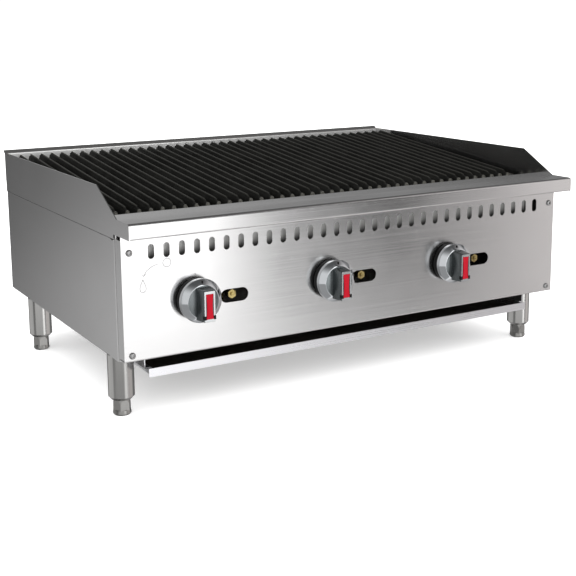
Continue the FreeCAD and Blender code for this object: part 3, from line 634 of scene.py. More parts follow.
def tubeSteel():
    # Legs: a satin tube, a little duller and dusty near the floor
    material, tree, shader = startFinish("legSteel", 1.0)
    coordinates = objectPlace(tree)
    marks = place(tree, handling, Scale=12.0, Amount=1.0)
    drawn = addNode(tree, "ShaderNodeVectorMath", operation="MULTIPLY")
    wire(tree, coordinates, drawn.inputs[0])
    drawn.inputs[1].default_value = (700.0, 700.0, 12.0)
    hair = noiseOf(tree, drawn.outputs[0], 1.0, 2.0, 0.5, 2.2)
    low = rangeOf(tree, objectAxis(tree, 2), 0.012, 0.05, 1.0, 0.0)
    tone = blendOf(tree, hair, (0.47, 0.465, 0.455, 1.0), (0.53, 0.525, 0.515, 1.0))
    dusty = timesOf(tree, sumOf(tree, marks.outputs["Cloud"], low), 0.10)
    wire(tree, blendOf(tree, dusty, tone, (0.40, 0.39, 0.37, 1.0)), shader.inputs["Base Color"])
    wire(tree, rangeOf(tree, marks.outputs["Cloud"], 0.0, 1.0, 0.15, 0.19), shader.inputs["Roughness"])
    bump(tree, shader, hair, 0.008, 0.00002)
    return material


def chrome(name, light, dark, rough):
    material, tree, shader = startFinish(name, 1.0)
    marks = place(tree, handling, Scale=30.0, Amount=1.0)
    clouded = timesOf(tree, marks.outputs["Cloud"], 0.25)
    wire(tree, blendOf(tree, clouded, rgb(light), rgb(dark)), shader.inputs["Base Color"])
    wire(tree, sumOf(tree, timesOf(tree, marks.outputs["Cloud"], 0.07), rough),
         shader.inputs["Roughness"])
    bump(tree, shader, marks.outputs["Spots"], 0.02, 0.0001)
    return material


def satinFace():
    # The flat of the knob: plated over an upright brushed face
    material, tree, shader = startFinish("knobSatin", 1.0)
    grid = gridOf(tree, timesOf(tree, objectAxis(tree, 0), 1500.0), timesOf(tree, objectAxis(tree, 2), 25.0))
    fine = noiseOf(tree, grid, 1.0, 3.0, 0.6, 4.0)
    wire(tree, blendOf(tree, fine, (0.15, 0.165, 0.17, 1.0), (0.21, 0.23, 0.235, 1.0)),
         shader.inputs["Base Color"])
    wire(tree, rangeOf(tree, fine, 0.3, 0.7, 0.22, 0.36), shader.inputs["Roughness"])
    bump(tree, shader, fine, 0.05, 0.0001)
    return material


def mouldedPlastic(name, dark, light, rough, coat=0.0):
    material, tree, shader = startFinish(name)
    coordinates = objectPlace(tree)
    grain = noiseOf(tree, coordinates, 1400.0, 2.0, 0.5, 1.3)
    cloud = noiseOf(tree, coordinates, 45.0, 3.0, 0.5, 2.3)
    wire(tree, blendOf(tree, cloud, rgb(dark), rgb(light)), shader.inputs["Base Color"])
    wire(tree, rangeOf(tree, cloud, 0.3, 0.7, rough, rough + 0.12), shader.inputs["Roughness"])
    shader.inputs["Coat Weight"].default_value = coat
    shader.inputs["Coat Roughness"].default_value = 0.12
    bump(tree, shader, grain, 0.1, 0.0001)
    return material


grateSizes = {
    "pitch": 0.0214,
    "bars": 6,
    "base": 0.0130,
    "body": 0.0210,
    "height": 0.0250,
    "shoulder": 0.0060,
    "crest": 0.0042,
    "ridgeSetback": 0.0120,
    "ridgeRun": 0.0080,
    "ridgeEnd": 0.0050,
    "nose": 0.0090,
    "stations": 26,
    "frontFoot": 0.0160,
    "rearFoot": 0.0160,
    "footDepth": 0.0120,
    "restTops": (0.309, 0.353),
    "ribs": 4,
    "ribInset": 0.0300,
    "ribSize": (0.0080, 0.0085),
    "unevenness": 0.0002,
    "seed": 11.0,
}


def grateLine():
    # The slope of the castings, and the height of the crest where y is 0
    lo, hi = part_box("grate_1")
    front = lo.y + grateSizes["frontFoot"]
    back = hi.y - grateSizes["rearFoot"]
    low, high = grateSizes["restTops"]
    slope = (high - low) / (back - front)
    return slope, hi.z - slope * (hi.y - grateSizes["ridgeEnd"])


slope, crestAtZero = grateLine()
grateIron = castIron(slope, crestAtZero - 0.0020, crestAtZero - 0.0003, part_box("grate_1")[0].y)

cabinetSteel = brushedSteel("cabinetSteel", (0.665, 0.66, 0.66), (0.71, 0.705, 0.705), 0.165, 0.035)
traySteel = trayFinish()
legSteel = tubeSteel()
footSteel = turnedMetal("footSteel", (0.26, 0.26, 0.25), (0.40, 0.39, 0.38), 0.24, "Z", 300.0)
screwSteel = turnedMetal("screwSteel", (0.30, 0.30, 0.30), (0.50, 0.50, 0.50), 0.24)
stemSteel = turnedMetal("stemSteel", (0.5, 0.5, 0.5), (0.68, 0.68, 0.68), 0.25)
pilotAluminium = turnedMetal("pilotAluminium", (0.62, 0.62, 0.63), (0.78, 0.78, 0.79), 0.35)
knobChrome = chrome("knobChrome", (0.62, 0.64, 0.66), (0.52, 0.54, 0.56), 0.05)
knobFrame = chrome("knobFrame", (0.60, 0.61, 0.62), (0.52, 0.53, 0.54), 0.20)
knobSatin = satinFace()
skirtBlack = mouldedPlastic("skirtBlack", (0.003, 0.003, 0.003), (0.007, 0.007, 0.007), 0.50)
shaderOf(skirtBlack).inputs["Specular IOR Level"].default_value = 0.15
insertRed = mouldedPlastic("insertRed", (0.27, 0.001, 0.008), (0.32, 0.002, 0.012), 0.45)
shaderOf(insertRed).inputs["Specular IOR Level"].default_value = 0.12

finishes = {
    "cabinet_steel": cabinetSteel,
    "back_steel": spangledSteel(),
    "screw_steel": screwSteel,
    "liner_steel": smokedSteel(),
    "grate_iron": grateIron,
    "radiant_steel": heatedSteel("radiantSteel", 0.24, 0.284, 0.75),
    "burner_steel": heatedSteel("burnerSteel", 0.186, 0.214, 0.5),
    "pipe_iron": blackPipe(),
    "valve_brass": brass(),
    "stem_steel": stemSteel,
    "pilot_aluminium": pilotAluminium,
    "knob_chrome": knobChrome,
    "insert_red": insertRed,
    "tray_steel": traySteel,
    "leg_steel": legSteel,
    "foot_steel": footSteel,
}


backSplashSizes = {
    "hemFade": (0.3840, 0.3856),  # the heights between which the steel turns fully metallic
    "innerMetallic": 0.75,
}


def backSplashFinish():
    # Reads bright on the inner face, and as plain steel on the hem
    material = brushedSteel("backSplashSteel", (0.70, 0.70, 0.69), (0.76, 0.76, 0.75), 0.26, 0.05)
    tree = material.node_tree
    low, high = backSplashSizes["hemFade"]
    metallic = rangeOf(tree, objectAxis(tree, 2), low, high, backSplashSizes["innerMetallic"], 1.0)
    wire(tree, metallic, shaderOf(material).inputs["Metallic"])
    return material


def dressNodes():
    backSteel = backSplashFinish()
    for part in frame["record"]["subparts"]:
        finish = backSteel if part["node"] == "back_splash" else finishes[part["material_slot"]]
        materials = nodes[part["node"]].data.materials
        materials.clear()
        materials.append(finish)


dressNodes()
print("stage: finishes made and put on", len(nodes), "nodes")


# Mesh helpers

def meshOf(name, bm):
    bmesh.ops.remove_doubles(bm, verts=bm.verts, dist=1e-6)
    bmesh.ops.recalc_face_normals(bm, faces=bm.faces)
    mesh = bpy.data.meshes.new(name)
    bm.to_mesh(mesh)
    bm.free()
    return mesh


def toPiece(name, bm, materials, body, replaced=(), sharp=35.0):
    finishPiece(name, meshOf(name, bm), materials, body, replaced, sharp)


def finishPiece(name, mesh, materials, body, replaced=(), sharp=35.0):
    for material in materials:
        if material.name not in mesh.materials:
            mesh.materials.append(material)
    mesh.polygons.foreach_set("use_smooth", [True] * len(mesh.polygons))
    mesh.set_sharp_from_angle(angle=math.radians(sharp))
    piece = bpy.data.objects.new(name, mesh)
    scene.collection.objects.link(piece)
    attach(piece, body)
    if replaced:
        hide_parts(*replaced)


def ringOf(bm, points):
    return [bm.verts.new(p) for p in points]


def bridge(bm, first, second, material=0):
    count = len(first)
    for i in range(count):
        j = (i + 1) % count
        face = bm.faces.new((first[i], first[j], second[j], second[i]))
        face.material_index = material


def cap(bm, ring, material=0):
    face = bm.faces.new(ring)
    face.material_index = material


def circle(centre, radius, depth, count):
    # A ring that faces the cook, at the given distance in front of the centre point
    turns = [2 * math.pi * i / count for i in range(count)]
    return [centre + Vector((radius * math.cos(t), -depth, radius * math.sin(t))) for t in turns]


def loft(bm, rings, lastMaterial=0):
    # Joins the rings in a row and closes both ends
    for first, second in zip(rings, rings[1:]):
        bridge(bm, first, second)
    cap(bm, rings[0])
    cap(bm, rings[-1], lastMaterial)


def lathe(bm, centre, profile, count, lastMaterial=0):
    # The profile holds (depth, radius) pairs
    rings = [ringOf(bm, circle(centre, radius, depth, count)) for depth, radius in profile]
    loft(bm, rings, lastMaterial)


def roundedRect(width, height, radius, steps=4):
    points = []
    for corner in range(4):
        cx = (width / 2 - radius) * (1 if corner in (0, 3) else -1)
        cz = (height / 2 - radius) * (1 if corner in (0, 1) else -1)
        for i in range(steps + 1):
            angle = math.radians(90 * corner + 90 * i / steps)
            points.append((cx + radius * math.cos(angle), cz + radius * math.sin(angle)))
    return points


# Knobs

knobSizes = {
    "segments": 96,
    "base": [(0.0, 0.0330), (0.0, 0.0352), (0.0006, 0.0356), (0.0104, 0.0357), (0.0108, 0.0350)],
    "body": [
        (0.0106, 0.0340), (0.0107, 0.0356), (0.0112, 0.0361), (0.0192, 0.0369), (0.0198, 0.0368),
        (0.0204, 0.0363), (0.0266, 0.0288), (0.0271, 0.0281), (0.0273, 0.0273),
    ],
    "gripStart": 0.0262,
    "gripFoot": (0.0262, 0.0545),
    "gripFront": (0.0200, 0.0514),
    "drop": 0.0028,
    "topSlope": 0.0020,
    "cornerRadius": 0.0014,
    "pocket": (0.0136, 0.0416),
    "pocketDepth": 0.0020,
    "clip": (0.0044, 0.0066, 0.0066),
    "clipLead": 0.0004,
    "notch": (0.0011, 0.0050, 0.0042),
    "notchPlace": (0.0, -0.0235, 0.0325),
}


def gripRing(centre, width, low, high, depth, radius):
    height = high - low
    middle = (high + low) / 2
    return [
        centre + Vector((x, -depth, z + middle))
        for x, z in roundedRect(width, height, radius)
    ]


def addGrip(bm, middle, reach):
    # A bar that narrows towards the cook, closed at the front by a frame round the pocket
    footWidth, footLength = knobSizes["gripFoot"]
    frontWidth, frontLength = knobSizes["gripFront"]
    base = knobSizes["gripStart"]
    centre = middle - Vector((0.0, 0.0, knobSizes["drop"]))
    half = frontLength / 2
    levels = [(base, 0.0), (base + 0.0022, 0.08), (base + 0.0044, 0.20)]
    levels += [(base + (reach - base) * t, t) for t in (0.35, 0.65, 0.93)]
    rings = []
    for depth, t in levels:
        width = footWidth + (frontWidth - footWidth) * t
        top = half + knobSizes["topSlope"] * (1 - t)
        low = -half - (footLength - frontLength) / 2 * (1 - t) * 0.4
        rings.append(ringOf(bm, gripRing(centre, width, low, top, depth, knobSizes["cornerRadius"])))
    edge = knobSizes["cornerRadius"] * 0.4
    rings.append(ringOf(bm, gripRing(centre, frontWidth - edge, -half + edge / 2, half - edge / 2,
                                     reach - edge / 2, knobSizes["cornerRadius"])))
    rings.append(ringOf(bm, gripRing(centre, frontWidth - 2 * edge, -half + edge, half - edge,
                                     reach, knobSizes["cornerRadius"])))
    for first, second in zip(rings, rings[1:]):
        bridge(bm, first, second, 1)
    cap(bm, rings[0])
    pocketWidth, pocketLength = knobSizes["pocket"]
    mouth = ringOf(bm, gripRing(centre, pocketWidth, -pocketLength / 2, pocketLength / 2, reach, 0.0006))
    floor = ringOf(bm, gripRing(centre, pocketWidth, -pocketLength / 2, pocketLength / 2,
                                reach - knobSizes["pocketDepth"], 0.0006))
    bridge(bm, rings[-1], mouth, 3)
    bridge(bm, mouth, floor, 3)
    cap(bm, floor, 1)


def addBlock(bm, centre, size, material, bevel=0.0003):
    made = bmesh.ops.create_cube(bm, size=1.0)["verts"]
    for v in made:
        v.co = Vector((v.co.x * size[0], v.co.y * size[1], v.co.z * size[2])) + Vector(centre)
    faces = set(f for v in made for f in v.link_faces)
    edges = set(e for v in made for e in v.link_edges)
    for face in faces:
        face.material_index = material
    bmesh.ops.bevel(bm, geom=list(edges), offset=bevel, segments=2, affect="EDGES", material=material)


def makeKnob(number):
    lo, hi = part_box(f"knob_{number}")
    centre = Vector(((lo.x + hi.x) / 2, hi.y, (lo.z + hi.z) / 2))
    reach = hi.y - lo.y
    bm = bmesh.new()
    count = knobSizes["segments"]
    lathe(bm, centre, knobSizes["body"], count, 1)
    addGrip(bm, centre, reach - knobSizes["clipLead"])
    clipWidth, clipDepth, clipHeight = knobSizes["clip"]
    across = knobSizes["gripFront"][0] / 2 - clipWidth * 0.36
    low = -knobSizes["gripFront"][1] / 2 - knobSizes["drop"] + clipHeight * 1.1
    for side in (-1, 1):
        addBlock(bm, centre + Vector((side * across, -reach + clipDepth / 2, low)),
                 (clipWidth, clipDepth, clipHeight), 2)
    addBlock(bm, centre + Vector(knobSizes["notchPlace"]), knobSizes["notch"], 2)
    toPiece(f"knobBody_{number}", bm, [knobChrome, knobSatin, skirtBlack, knobFrame],
            f"knob_{number}_turning", [f"knob_{number}"], 28.0)
    bm = bmesh.new()
    lathe(bm, centre, knobSizes["base"], count)
    toPiece(f"knobBase_{number}", bm, [skirtBlack], f"knob_{number}_turning")


for number in (1, 2, 3):
    makeKnob(number)
print("stage: knobs made")


# Raised marks beside the first knob: a ring for off, a drop for lit and the arc between them

markSizes = {
    "ring": (-0.0500, 0.0660, 0.0070),
    "drop": (-0.0925, 0.0325, 0.0062, 0.0105),
    "arc": [(-0.0660, 0.0655), (-0.0760, 0.0625), (-0.0850, 0.0570), (-0.0905, 0.0490)],
    "arrow": 0.0030,
    "width": 0.0016,
    "lift": 0.00035,
    "sink": 0.0004,
    "faceSetback": 0.0007,  # from the front of the panel's box to its flat face
    "dot": (0.0, 0.0410, 0.0019),
}


def markInk():
    # The same sheet, pressed out and slightly frosted
    material, tree, shader = startFinish("pressedMark", 1.0)
    coordinates = objectPlace(tree)
    frost = noiseOf(tree, coordinates, 800.0, 3.0, 0.6, 4.9)
    wire(tree, blendOf(tree, frost, (0.50, 0.50, 0.50, 1.0), (0.60, 0.60, 0.60, 1.0)),
         shader.inputs["Base Color"])
    wire(tree, rangeOf(tree, frost, 0.3, 0.7, 0.34, 0.46), shader.inputs["Roughness"])
    bump(tree, shader, frost, 0.1, 0.0001)
    return material


def addStrip(bm, centre, path, closed):
    # A low ridge with sloped flanks that follows a path on the panel
    half = markSizes["width"] / 2
    lift = Vector((0.0, markSizes["lift"], 0.0))
    sink = Vector((0.0, markSizes["sink"], 0.0))
    count = len(path)
    rings = []
    for i, (x, z) in enumerate(path):
        before = path[(i - 1) % count] if closed or i > 0 else path[i]
        after = path[(i + 1) % count] if closed or i < count - 1 else path[i]
        along = Vector((after[0] - before[0], 0.0, after[1] - before[1])).normalized()
        across = Vector((-along.z, 0.0, along.x))
        middle = centre + Vector((x, 0.0, z))
        rings.append(ringOf(bm, [
            middle + across * half + sink,
            middle + across * half * 0.55 - lift,
            middle - across * half * 0.55 - lift,
            middle - across * half + sink,
        ]))
    for first, second in zip(rings, rings[1:] + (rings[:1] if closed else [])):
        bridge(bm, first, second)
    if not closed:
        cap(bm, rings[0])
        cap(bm, rings[-1])


def makeMarks(number, material):
    lo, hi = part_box(f"knob_{number}")
    s = markSizes
    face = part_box("front_panel")[0].y + s["faceSetback"]
    centre = Vector(((lo.x + hi.x) / 2, face, (lo.z + hi.z) / 2))
    bm = bmesh.new()
    x, z, radius = s["ring"]
    turns = [2 * math.pi * i / 32 for i in range(32)]
    addStrip(bm, centre, [(x + radius * math.cos(t), z + radius * math.sin(t)) for t in turns], True)
    x, z, across, up = s["drop"]
    addStrip(bm, centre, [
        (x + across * math.sin(t) * math.sin(t / 2) ** 1.6 * 1.25, z + up * math.cos(t)) for t in turns
    ], True)
    addStrip(bm, centre, s["arc"], False)
    endX, endZ = s["arc"][-1]
    reach = s["arrow"]
    addStrip(bm, centre, [(endX - reach, endZ + reach * 0.6), (endX - 0.0006, endZ - reach * 0.4),
                          (endX + reach, endZ + reach * 0.8)], False)
    x, z, radius = s["dot"]
    dome = [(-s["sink"], radius), (0.0006, radius * 0.85), (0.0008, radius * 0.5)]
    lathe(bm, centre + Vector((x, 0.0, z)), dome, 24)
    toPiece(f"panelMarks_{number}", bm, [material], "cabinet")


makeMarks(1, markInk())
print("stage: panel marks made")


# The sheet seen through the vent slots: painted light where light reaches it high up, and painted shade below

baffleSizes = {
    "left": -0.4400,
    "right": 0.3900,
    "behind": 0.0120,
    "low": 0.2660,
    "high": 0.3080,
    "gauge": 0.0010,
    "fold": 0.0100,
    "bend": 0.0015,
    "shade": (0.272, 0.302),
}


def baffleFinish():
    material, tree, shader = startFinish("baffleSteel")
    coordinates = objectPlace(tree)
    cloud = noiseOf(tree, coordinates, 60.0, 4.0, 0.6, 3.8)
    height = sumOf(tree, objectAxis(tree, 2), timesOf(tree, cloud, 0.004))
    # Colour by height: painted shade near black low down, painted light pale high up
    wire(tree, rampOf(tree, rangeOf(tree, height, *baffleSizes["shade"], 0.0, 1.0, False), [
        (0.0, (0.012, 0.012, 0.012)),
        (0.22, (0.10, 0.098, 0.095)),
        (0.6, (0.50, 0.50, 0.49)),
        (1.0, (0.72, 0.72, 0.71)),
    ]), shader.inputs["Base Color"])
    wire(tree, rangeOf(tree, cloud, 0.3, 0.7, 0.42, 0.58), shader.inputs["Roughness"])
    shader.inputs["Metallic"].default_value = 0.25
    bump(tree, shader, cloud, 0.1, 0.0002)
    return material


def makeBaffle():
    s = baffleSizes
    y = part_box("front_panel")[0].y + s["behind"]
    t = s["gauge"]
    bend, top = s["bend"], s["high"]
    profile = [
        (y, s["low"]), (y, top - bend), (y + bend, top), (y + s["fold"], top), (y + s["fold"], top - t),
        (y + bend + t * 0.3, top - t), (y + t, top - bend - t * 0.3), (y + t, s["low"]),
    ]
    bm = bmesh.new()
    loft(bm, [ringOf(bm, [Vector((s[end], py, pz)) for py, pz in profile]) for end in ("left", "right")])
    toPiece("ventBaffle", bm, [baffleFinish()], "cabinet")


makeBaffle()
print("stage: vent baffle made")


# A dark bead under each splash, with a tack-weld lump on it: painted shade, a near-black strip standing in for the
# shadow below the splash's lower edge

beadSizes = {
    "start": -0.2730,
    "end": 0.3190,
    "reach": 0.0013,
    "drop": 0.0017,
    "weldPlace": (-0.2640, 0.3078),
    "weldSize": (0.0012, 0.0060, 0.0024),
    "sink": 0.0004,
    "sag": 0.0002,
    "stations": 40,
}


def shadowStripFinish():
    # Painted shade: near-black, mottled by noise, for the shadow under the splash's lower edge
    material, tree, shader = startFinish("paintedShadowStrip")
    coordinates = objectPlace(tree)
    lumps = noiseOf(tree, coordinates, 260.0, 3.0, 0.6, 5.4)
    wire(tree, blendOf(tree, lumps, (0.010, 0.010, 0.009, 1.0), (0.035, 0.034, 0.032, 1.0)),
         shader.inputs["Base Color"])
    wire(tree, rangeOf(tree, lumps, 0.3, 0.7, 0.55, 0.75), shader.inputs["Roughness"])
    bump(tree, shader, lumps, 0.3, 0.0003)
    return material


def makeBead(side, material):
    s = beadSizes
    name = "left" if side < 0 else "right"
    lo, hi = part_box(f"{name}_splash")
    wall = hi.x if side < 0 else lo.x
    bm = bmesh.new()
    sink = s["sink"]
    rings = []
    for i in range(s["stations"] + 1):
        y = s["start"] + (s["end"] - s["start"]) * i / s["stations"]
        sag = s["sag"] * math.sin(i * 2.1)
        points = []
        for step in range(6):
            angle = math.pi / 2 * step / 5
            points.append(Vector((wall + side * s["reach"] * math.cos(angle), y,
                                  lo.z - (s["drop"] + sag) * math.sin(angle))))
        points.append(Vector((wall - side * sink, y, lo.z - s["drop"])))
        points.append(Vector((wall - side * sink, y, lo.z + sink)))
        points.append(Vector((wall + side * s["reach"], y, lo.z + sink)))
        rings.append(ringOf(bm, points))
    loft(bm, rings)
    y, z = s["weldPlace"]
    bulge, length, height = s["weldSize"]
    dome = bmesh.ops.create_uvsphere(bm, u_segments=16, v_segments=10, radius=1.0)["verts"]
    for v in dome:
        ripple = 1.0 + 0.06 * math.sin(v.co.y * 9.0)
        v.co = Vector((wall + v.co.x * bulge * ripple, y + v.co.y * length, z + v.co.z * height * ripple))
    toPiece(f"{name}Seam", bm, [material], "cabinet")


shadowStripMaterial = shadowStripFinish()
for side in (-1, 1):
    makeBead(side, shadowStripMaterial)
print("stage: splash seams made")


# Geometry Nodes helpers

def geometryTree(name, inputs):
    tree = bpy.data.node_groups.new(name, "GeometryNodeTree")
    for label, kind, value in inputs:
        socket = tree.interface.new_socket(label, in_out="INPUT", socket_type=kind)
        if value is not None:
            socket.default_value = value
    tree.interface.new_socket("Geometry", in_out="OUTPUT", socket_type="NodeSocketGeometry")
    return tree, tree.nodes.new("NodeGroupInput"), tree.nodes.new("NodeGroupOutput")


def growMesh(name, tree, values):
    # Runs the tree on an empty mesh and gives back a plain one
    holder = bpy.data.objects.new(name, bpy.data.meshes.new(name))
    scene.collection.objects.link(holder)
    modifier = holder.modifiers.new("grow", "NODES")
    modifier.node_group = tree
    for item in tree.interface.items_tree:
        if item.in_out == "INPUT" and item.name in values:
            modifier[item.identifier] = values[item.name]
    graph = bpy.context.evaluated_depsgraph_get()
    mesh = bpy.data.meshes.new_from_object(holder.evaluated_get(graph))
    holder.modifiers.clear()
    bpy.data.objects.remove(holder)
    mesh.name = name
    return mesh


def patternObject(name, bm):
    # A shape that a tree copies. It is never shown
    made = bpy.data.objects.new(name, meshOf(name, bm))
    scene.collection.objects.link(made)
    return made


def rowOf(tree, source, count, start, step):
    # Copies the source object along a straight row
    line = addNode(tree, "GeometryNodeMeshLine", mode="OFFSET", count_mode="TOTAL")
    wire(tree, count, line.inputs["Count"])
    wire(tree, start, line.inputs["Start Location"])
    wire(tree, step, line.inputs["Offset"])
    info = addNode(tree, "GeometryNodeObjectInfo", transform_space="ORIGINAL")
    wire(tree, source, info.inputs["Object"])
    spread = addNode(tree, "GeometryNodeInstanceOnPoints")
    wire(tree, line.outputs["Mesh"], spread.inputs["Points"])
    wire(tree, info.outputs["Geometry"], spread.inputs["Instance"])
    return spread.outputs["Instances"]


def closeTree(tree, leave, pieces, material):
    join = addNode(tree, "GeometryNodeJoinGeometry")
    for made in pieces:
        wire(tree, made, join.inputs[0])
    real = addNode(tree, "GeometryNodeRealizeInstances")
    wire(tree, join.outputs[0], real.inputs[0])
    paint = addNode(tree, "GeometryNodeSetMaterial")
    wire(tree, real.outputs[0], paint.inputs["Geometry"])
    paint.inputs["Material"].default_value = material
    wire(tree, paint.outputs[0], leave.inputs[0])
    return real, paint


# Grates

def barSection(width, rise):
    # Right half of a bar, from the middle of its underside to the middle of its crest
    s = grateSizes
    half = s["base"] / 2 * width
    shoulder = s["shoulder"] / 2 * (0.4 + 0.6 * width)
    crest = s["crest"] / 2 * (0.5 + 0.5 * width)
    top = s["body"] + (s["height"] - s["body"]) * rise
    return [
        (0.0, 0.0), (half - 0.0012, 0.0), (half, 0.0012), (half, 0.0055), (shoulder + 0.0013, 0.0145),
        (shoulder, s["body"] - 0.0012), (shoulder - 0.0006, s["body"] - 0.0003),
        (crest, s["body"] + (top - s["body"]) * 0.35), (crest - 0.0002, top - 0.0008), (crest - 0.0009, top),
        (0.0, top),
    ]


def barShape(length):
    s = grateSizes
    places = [0.0, 0.0012, 0.004, s["nose"], s["ridgeSetback"], s["ridgeSetback"] + 0.002,
              s["ridgeSetback"] + s["ridgeRun"] * 0.55, s["ridgeSetback"] + s["ridgeRun"]]
    run = length - s["ridgeEnd"] - places[-1]
    places += [places[-1] + run * i / s["stations"] for i in range(1, s["stations"] + 1)]
    places += [places[-1] + 0.0006, length - 0.0012, length]
    bm = bmesh.new()
    rings = []
    for y in places:
        width = 0.30 + 0.70 * math.sin(math.pi / 2 * min(1.0, y / s["nose"]))
        if y > length - 0.003:
            width = 0.9
        reach = (y - s["ridgeSetback"]) / s["ridgeRun"]
        rise = math.sin(math.pi / 2 * max(0.0, min(1.0, reach)))
        if y > length - s["ridgeEnd"] + 0.0003:
            rise = 0.0
        half = barSection(width, rise)
        points = [(x, z) for x, z in half] + [(-x, z) for x, z in half[-2:0:-1]]
        rings.append(ringOf(bm, [Vector((x, y, z + slope * y)) for x, z in points]))
    loft(bm, rings)
    return patternObject("barPattern", bm)


def blockShape(name, size, bevel):
    bm = bmesh.new()
    made = bmesh.ops.create_cube(bm, size=1.0)["verts"]
    for v in made:
        v.co = Vector((v.co.x * size[0], v.co.y * size[1], v.co.z * size[2]))
    bmesh.ops.bevel(bm, geom=list(bm.edges), offset=bevel, segments=2, affect="EDGES")
    return patternObject(name, bm)


def grateTree():
    vector = "NodeSocketVector"
    tree, entry, leave = geometryTree("grateCasting", [
        ("Bar", "NodeSocketObject", None),
        ("Rib", "NodeSocketObject", None),
        ("Front Foot", "NodeSocketObject", None),
        ("Rear Foot", "NodeSocketObject", None),
        ("Bars", "NodeSocketInt", 6),
        ("Bar Start", vector, (0.0, 0.0, 0.0)),
        ("Bar Step", vector, (0.02, 0.0, 0.0)),
        ("Ribs", "NodeSocketInt", 4),
        ("Rib Start", vector, (0.0, 0.0, 0.0)),
        ("Rib Step", vector, (0.0, 0.1, 0.0)),
        ("Front Foot Place", vector, (0.0, 0.0, 0.0)),
        ("Rear Foot Place", vector, (0.0, 0.0, 0.0)),
        ("Unevenness", "NodeSocketFloat", 0.0003),
        ("Seed", "NodeSocketFloat", 1.0),
    ])
    given = entry.outputs
    one = addNode(tree, "FunctionNodeInputInt")
    one.integer = 1
    pieces = [
        rowOf(tree, given["Bar"], given["Bars"], given["Bar Start"], given["Bar Step"]),
        rowOf(tree, given["Rib"], given["Ribs"], given["Rib Start"], given["Rib Step"]),
        rowOf(tree, given["Front Foot"], one.outputs[0], given["Front Foot Place"], given["Bar Step"]),
        rowOf(tree, given["Rear Foot"], one.outputs[0], given["Rear Foot Place"], given["Bar Step"]),
    ]
    real, paint = closeTree(tree, leave, pieces, grateIron)
    noise = addNode(tree, "ShaderNodeTexNoise", noise_dimensions="4D")
    wire(tree, given["Seed"], noise.inputs["W"])
    noise.inputs["Scale"].default_value = 45.0
    centred = addNode(tree, "ShaderNodeVectorMath", operation="SUBTRACT")
    wire(tree, noise.outputs["Color"], centred.inputs[0])
    centred.inputs[1].default_value = (0.5, 0.5, 0.5)
    scaled = addNode(tree, "ShaderNodeVectorMath", operation="SCALE")
    wire(tree, centred.outputs[0], scaled.inputs[0])
    wire(tree, given["Unevenness"], scaled.inputs["Scale"])
    shift = addNode(tree, "GeometryNodeSetPosition")
    wire(tree, real.outputs[0], shift.inputs["Geometry"])
    wire(tree, scaled.outputs[0], shift.inputs["Offset"])
    wire(tree, shift.outputs[0], paint.inputs["Geometry"])
    return tree


def makeGrates():
    s = grateSizes
    lo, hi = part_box("grate_1")
    length = hi.y - lo.y
    run = (s["bars"] - 1) * s["pitch"]
    underAtZero = crestAtZero - s["height"]
    frontRest, rearRest = s["restTops"]
    frontY = lo.y + s["frontFoot"] + s["footDepth"] / 2
    rearY = hi.y - s["rearFoot"] + s["footDepth"] / 2
    width = run + s["base"] - 0.0006
    footTops = [underAtZero + slope * y + 0.004 for y in (frontY, rearY)]
    frontHeight = footTops[0] - frontRest
    rearHeight = footTops[1] - rearRest
    bar = barShape(length)
    rib = blockShape("ribPattern", (width, *s["ribSize"]), 0.0012)
    frontFoot = blockShape("frontFootPattern", (width, s["footDepth"], frontHeight), 0.0008)
    rearFoot = blockShape("rearFootPattern", (width, s["footDepth"], rearHeight), 0.0008)
    tree = grateTree()
    ribRun = (length - 2 * s["ribInset"]) / (s["ribs"] - 1)
    for number in range(1, 8):
        left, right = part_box(f"grate_{number}")
        middle = (left.x + right.x) / 2
        ribY = lo.y + s["ribInset"]
        ribZ = underAtZero + slope * ribY + 0.0005 + s["ribSize"][1] / 2
        mesh = growMesh(f"grateCasting_{number}", tree, {
            "Bar": bar,
            "Rib": rib,
            "Front Foot": frontFoot,
            "Rear Foot": rearFoot,
            "Bars": s["bars"],
            "Bar Start": (middle - run / 2, lo.y, underAtZero + slope * lo.y),
            "Bar Step": (s["pitch"], 0.0, 0.0),
            "Ribs": s["ribs"],
            "Rib Start": (middle, ribY, ribZ),
            "Rib Step": (0.0, ribRun, ribRun * slope),
            "Front Foot Place": (middle, frontY, frontRest + frontHeight / 2),
            "Rear Foot Place": (middle, rearY, rearRest + rearHeight / 2),
            "Unevenness": s["unevenness"],
            "Seed": s["seed"] + number,
        })
        finishPiece(f"grateCasting_{number}", mesh, [grateIron], f"grate_{number}_lift",
                    [f"grate_{number}"], 40.0)
    for made in (bar, rib, frontFoot, rearFoot):
        bpy.data.objects.remove(made)


makeGrates()
print("stage: grates made")


# Panel screws

screwSizes = {
    "radius": 0.0056,
    "height": 0.0032,
    "socket": 0.0024,
    "socketDepth": 0.0016,
    "segments": 36,
    "inset": 0.0005,
    "faceSetback": 0.0007,
}


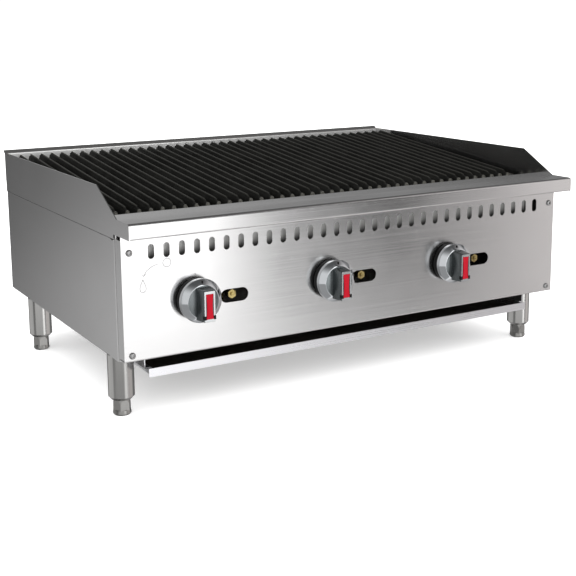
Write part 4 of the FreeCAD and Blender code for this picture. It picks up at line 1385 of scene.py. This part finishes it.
def screwShape():
    s = screwSizes
    count = s["segments"]
    radius, height = s["radius"], s["height"]
    bm = bmesh.new()
    profile = [(-0.0020, radius * 0.5), (-0.0020, radius * 0.96)]
    profile += [(height * up, radius * out) for up, out in ((0.30, 1.0), (0.60, 0.93), (0.85, 0.76), (0.97, 0.56))]
    rings = [ringOf(bm, circle(Vector(), across, depth, count)) for depth, across in profile]
    flats = []
    for i in range(count):
        angle = 2 * math.pi * i / count
        reach = s["socket"] * math.cos(math.pi / 6) / math.cos(angle % (math.pi / 3) - math.pi / 6)
        flats.append((reach * math.cos(angle), reach * math.sin(angle)))
    for depth in (s["height"], s["height"] - s["socketDepth"]):
        rings.append(ringOf(bm, [Vector((x, -depth, z)) for x, z in flats]))
    loft(bm, rings)
    return patternObject("screwPattern", bm)


def screwTree():
    vector = "NodeSocketVector"
    tree, entry, leave = geometryTree("screwRows", [
        ("Screw", "NodeSocketObject", None),
        ("Screws", "NodeSocketInt", 2),
        ("Lower Start", vector, (0.0, 0.0, 0.0)),
        ("Upper Start", vector, (0.0, 0.0, 0.0)),
        ("Step", vector, (1.0, 0.0, 0.0)),
    ])
    given = entry.outputs
    closeTree(tree, leave, [
        rowOf(tree, given["Screw"], given["Screws"], given["Lower Start"], given["Step"]),
        rowOf(tree, given["Screw"], given["Screws"], given["Upper Start"], given["Step"]),
    ], screwSteel)
    return tree


def makeScrews():
    lo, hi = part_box("front_panel_screws")
    reach = screwSizes["radius"] + screwSizes["inset"]
    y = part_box("front_panel")[0].y + screwSizes["faceSetback"]
    pattern = screwShape()
    mesh = growMesh("panelScrews", screwTree(), {
        "Screw": pattern,
        "Screws": 2,
        "Lower Start": (lo.x + reach, y, lo.z + reach),
        "Upper Start": (lo.x + reach, y, hi.z - reach),
        "Step": (hi.x - lo.x - 2 * reach, 0.0, 0.0),
    })
    bpy.data.objects.remove(pattern)
    finishPiece("panelScrews", mesh, [screwSteel], "cabinet", ["front_panel_screws"], 40.0)


makeScrews()
print("stage: panel screws made")
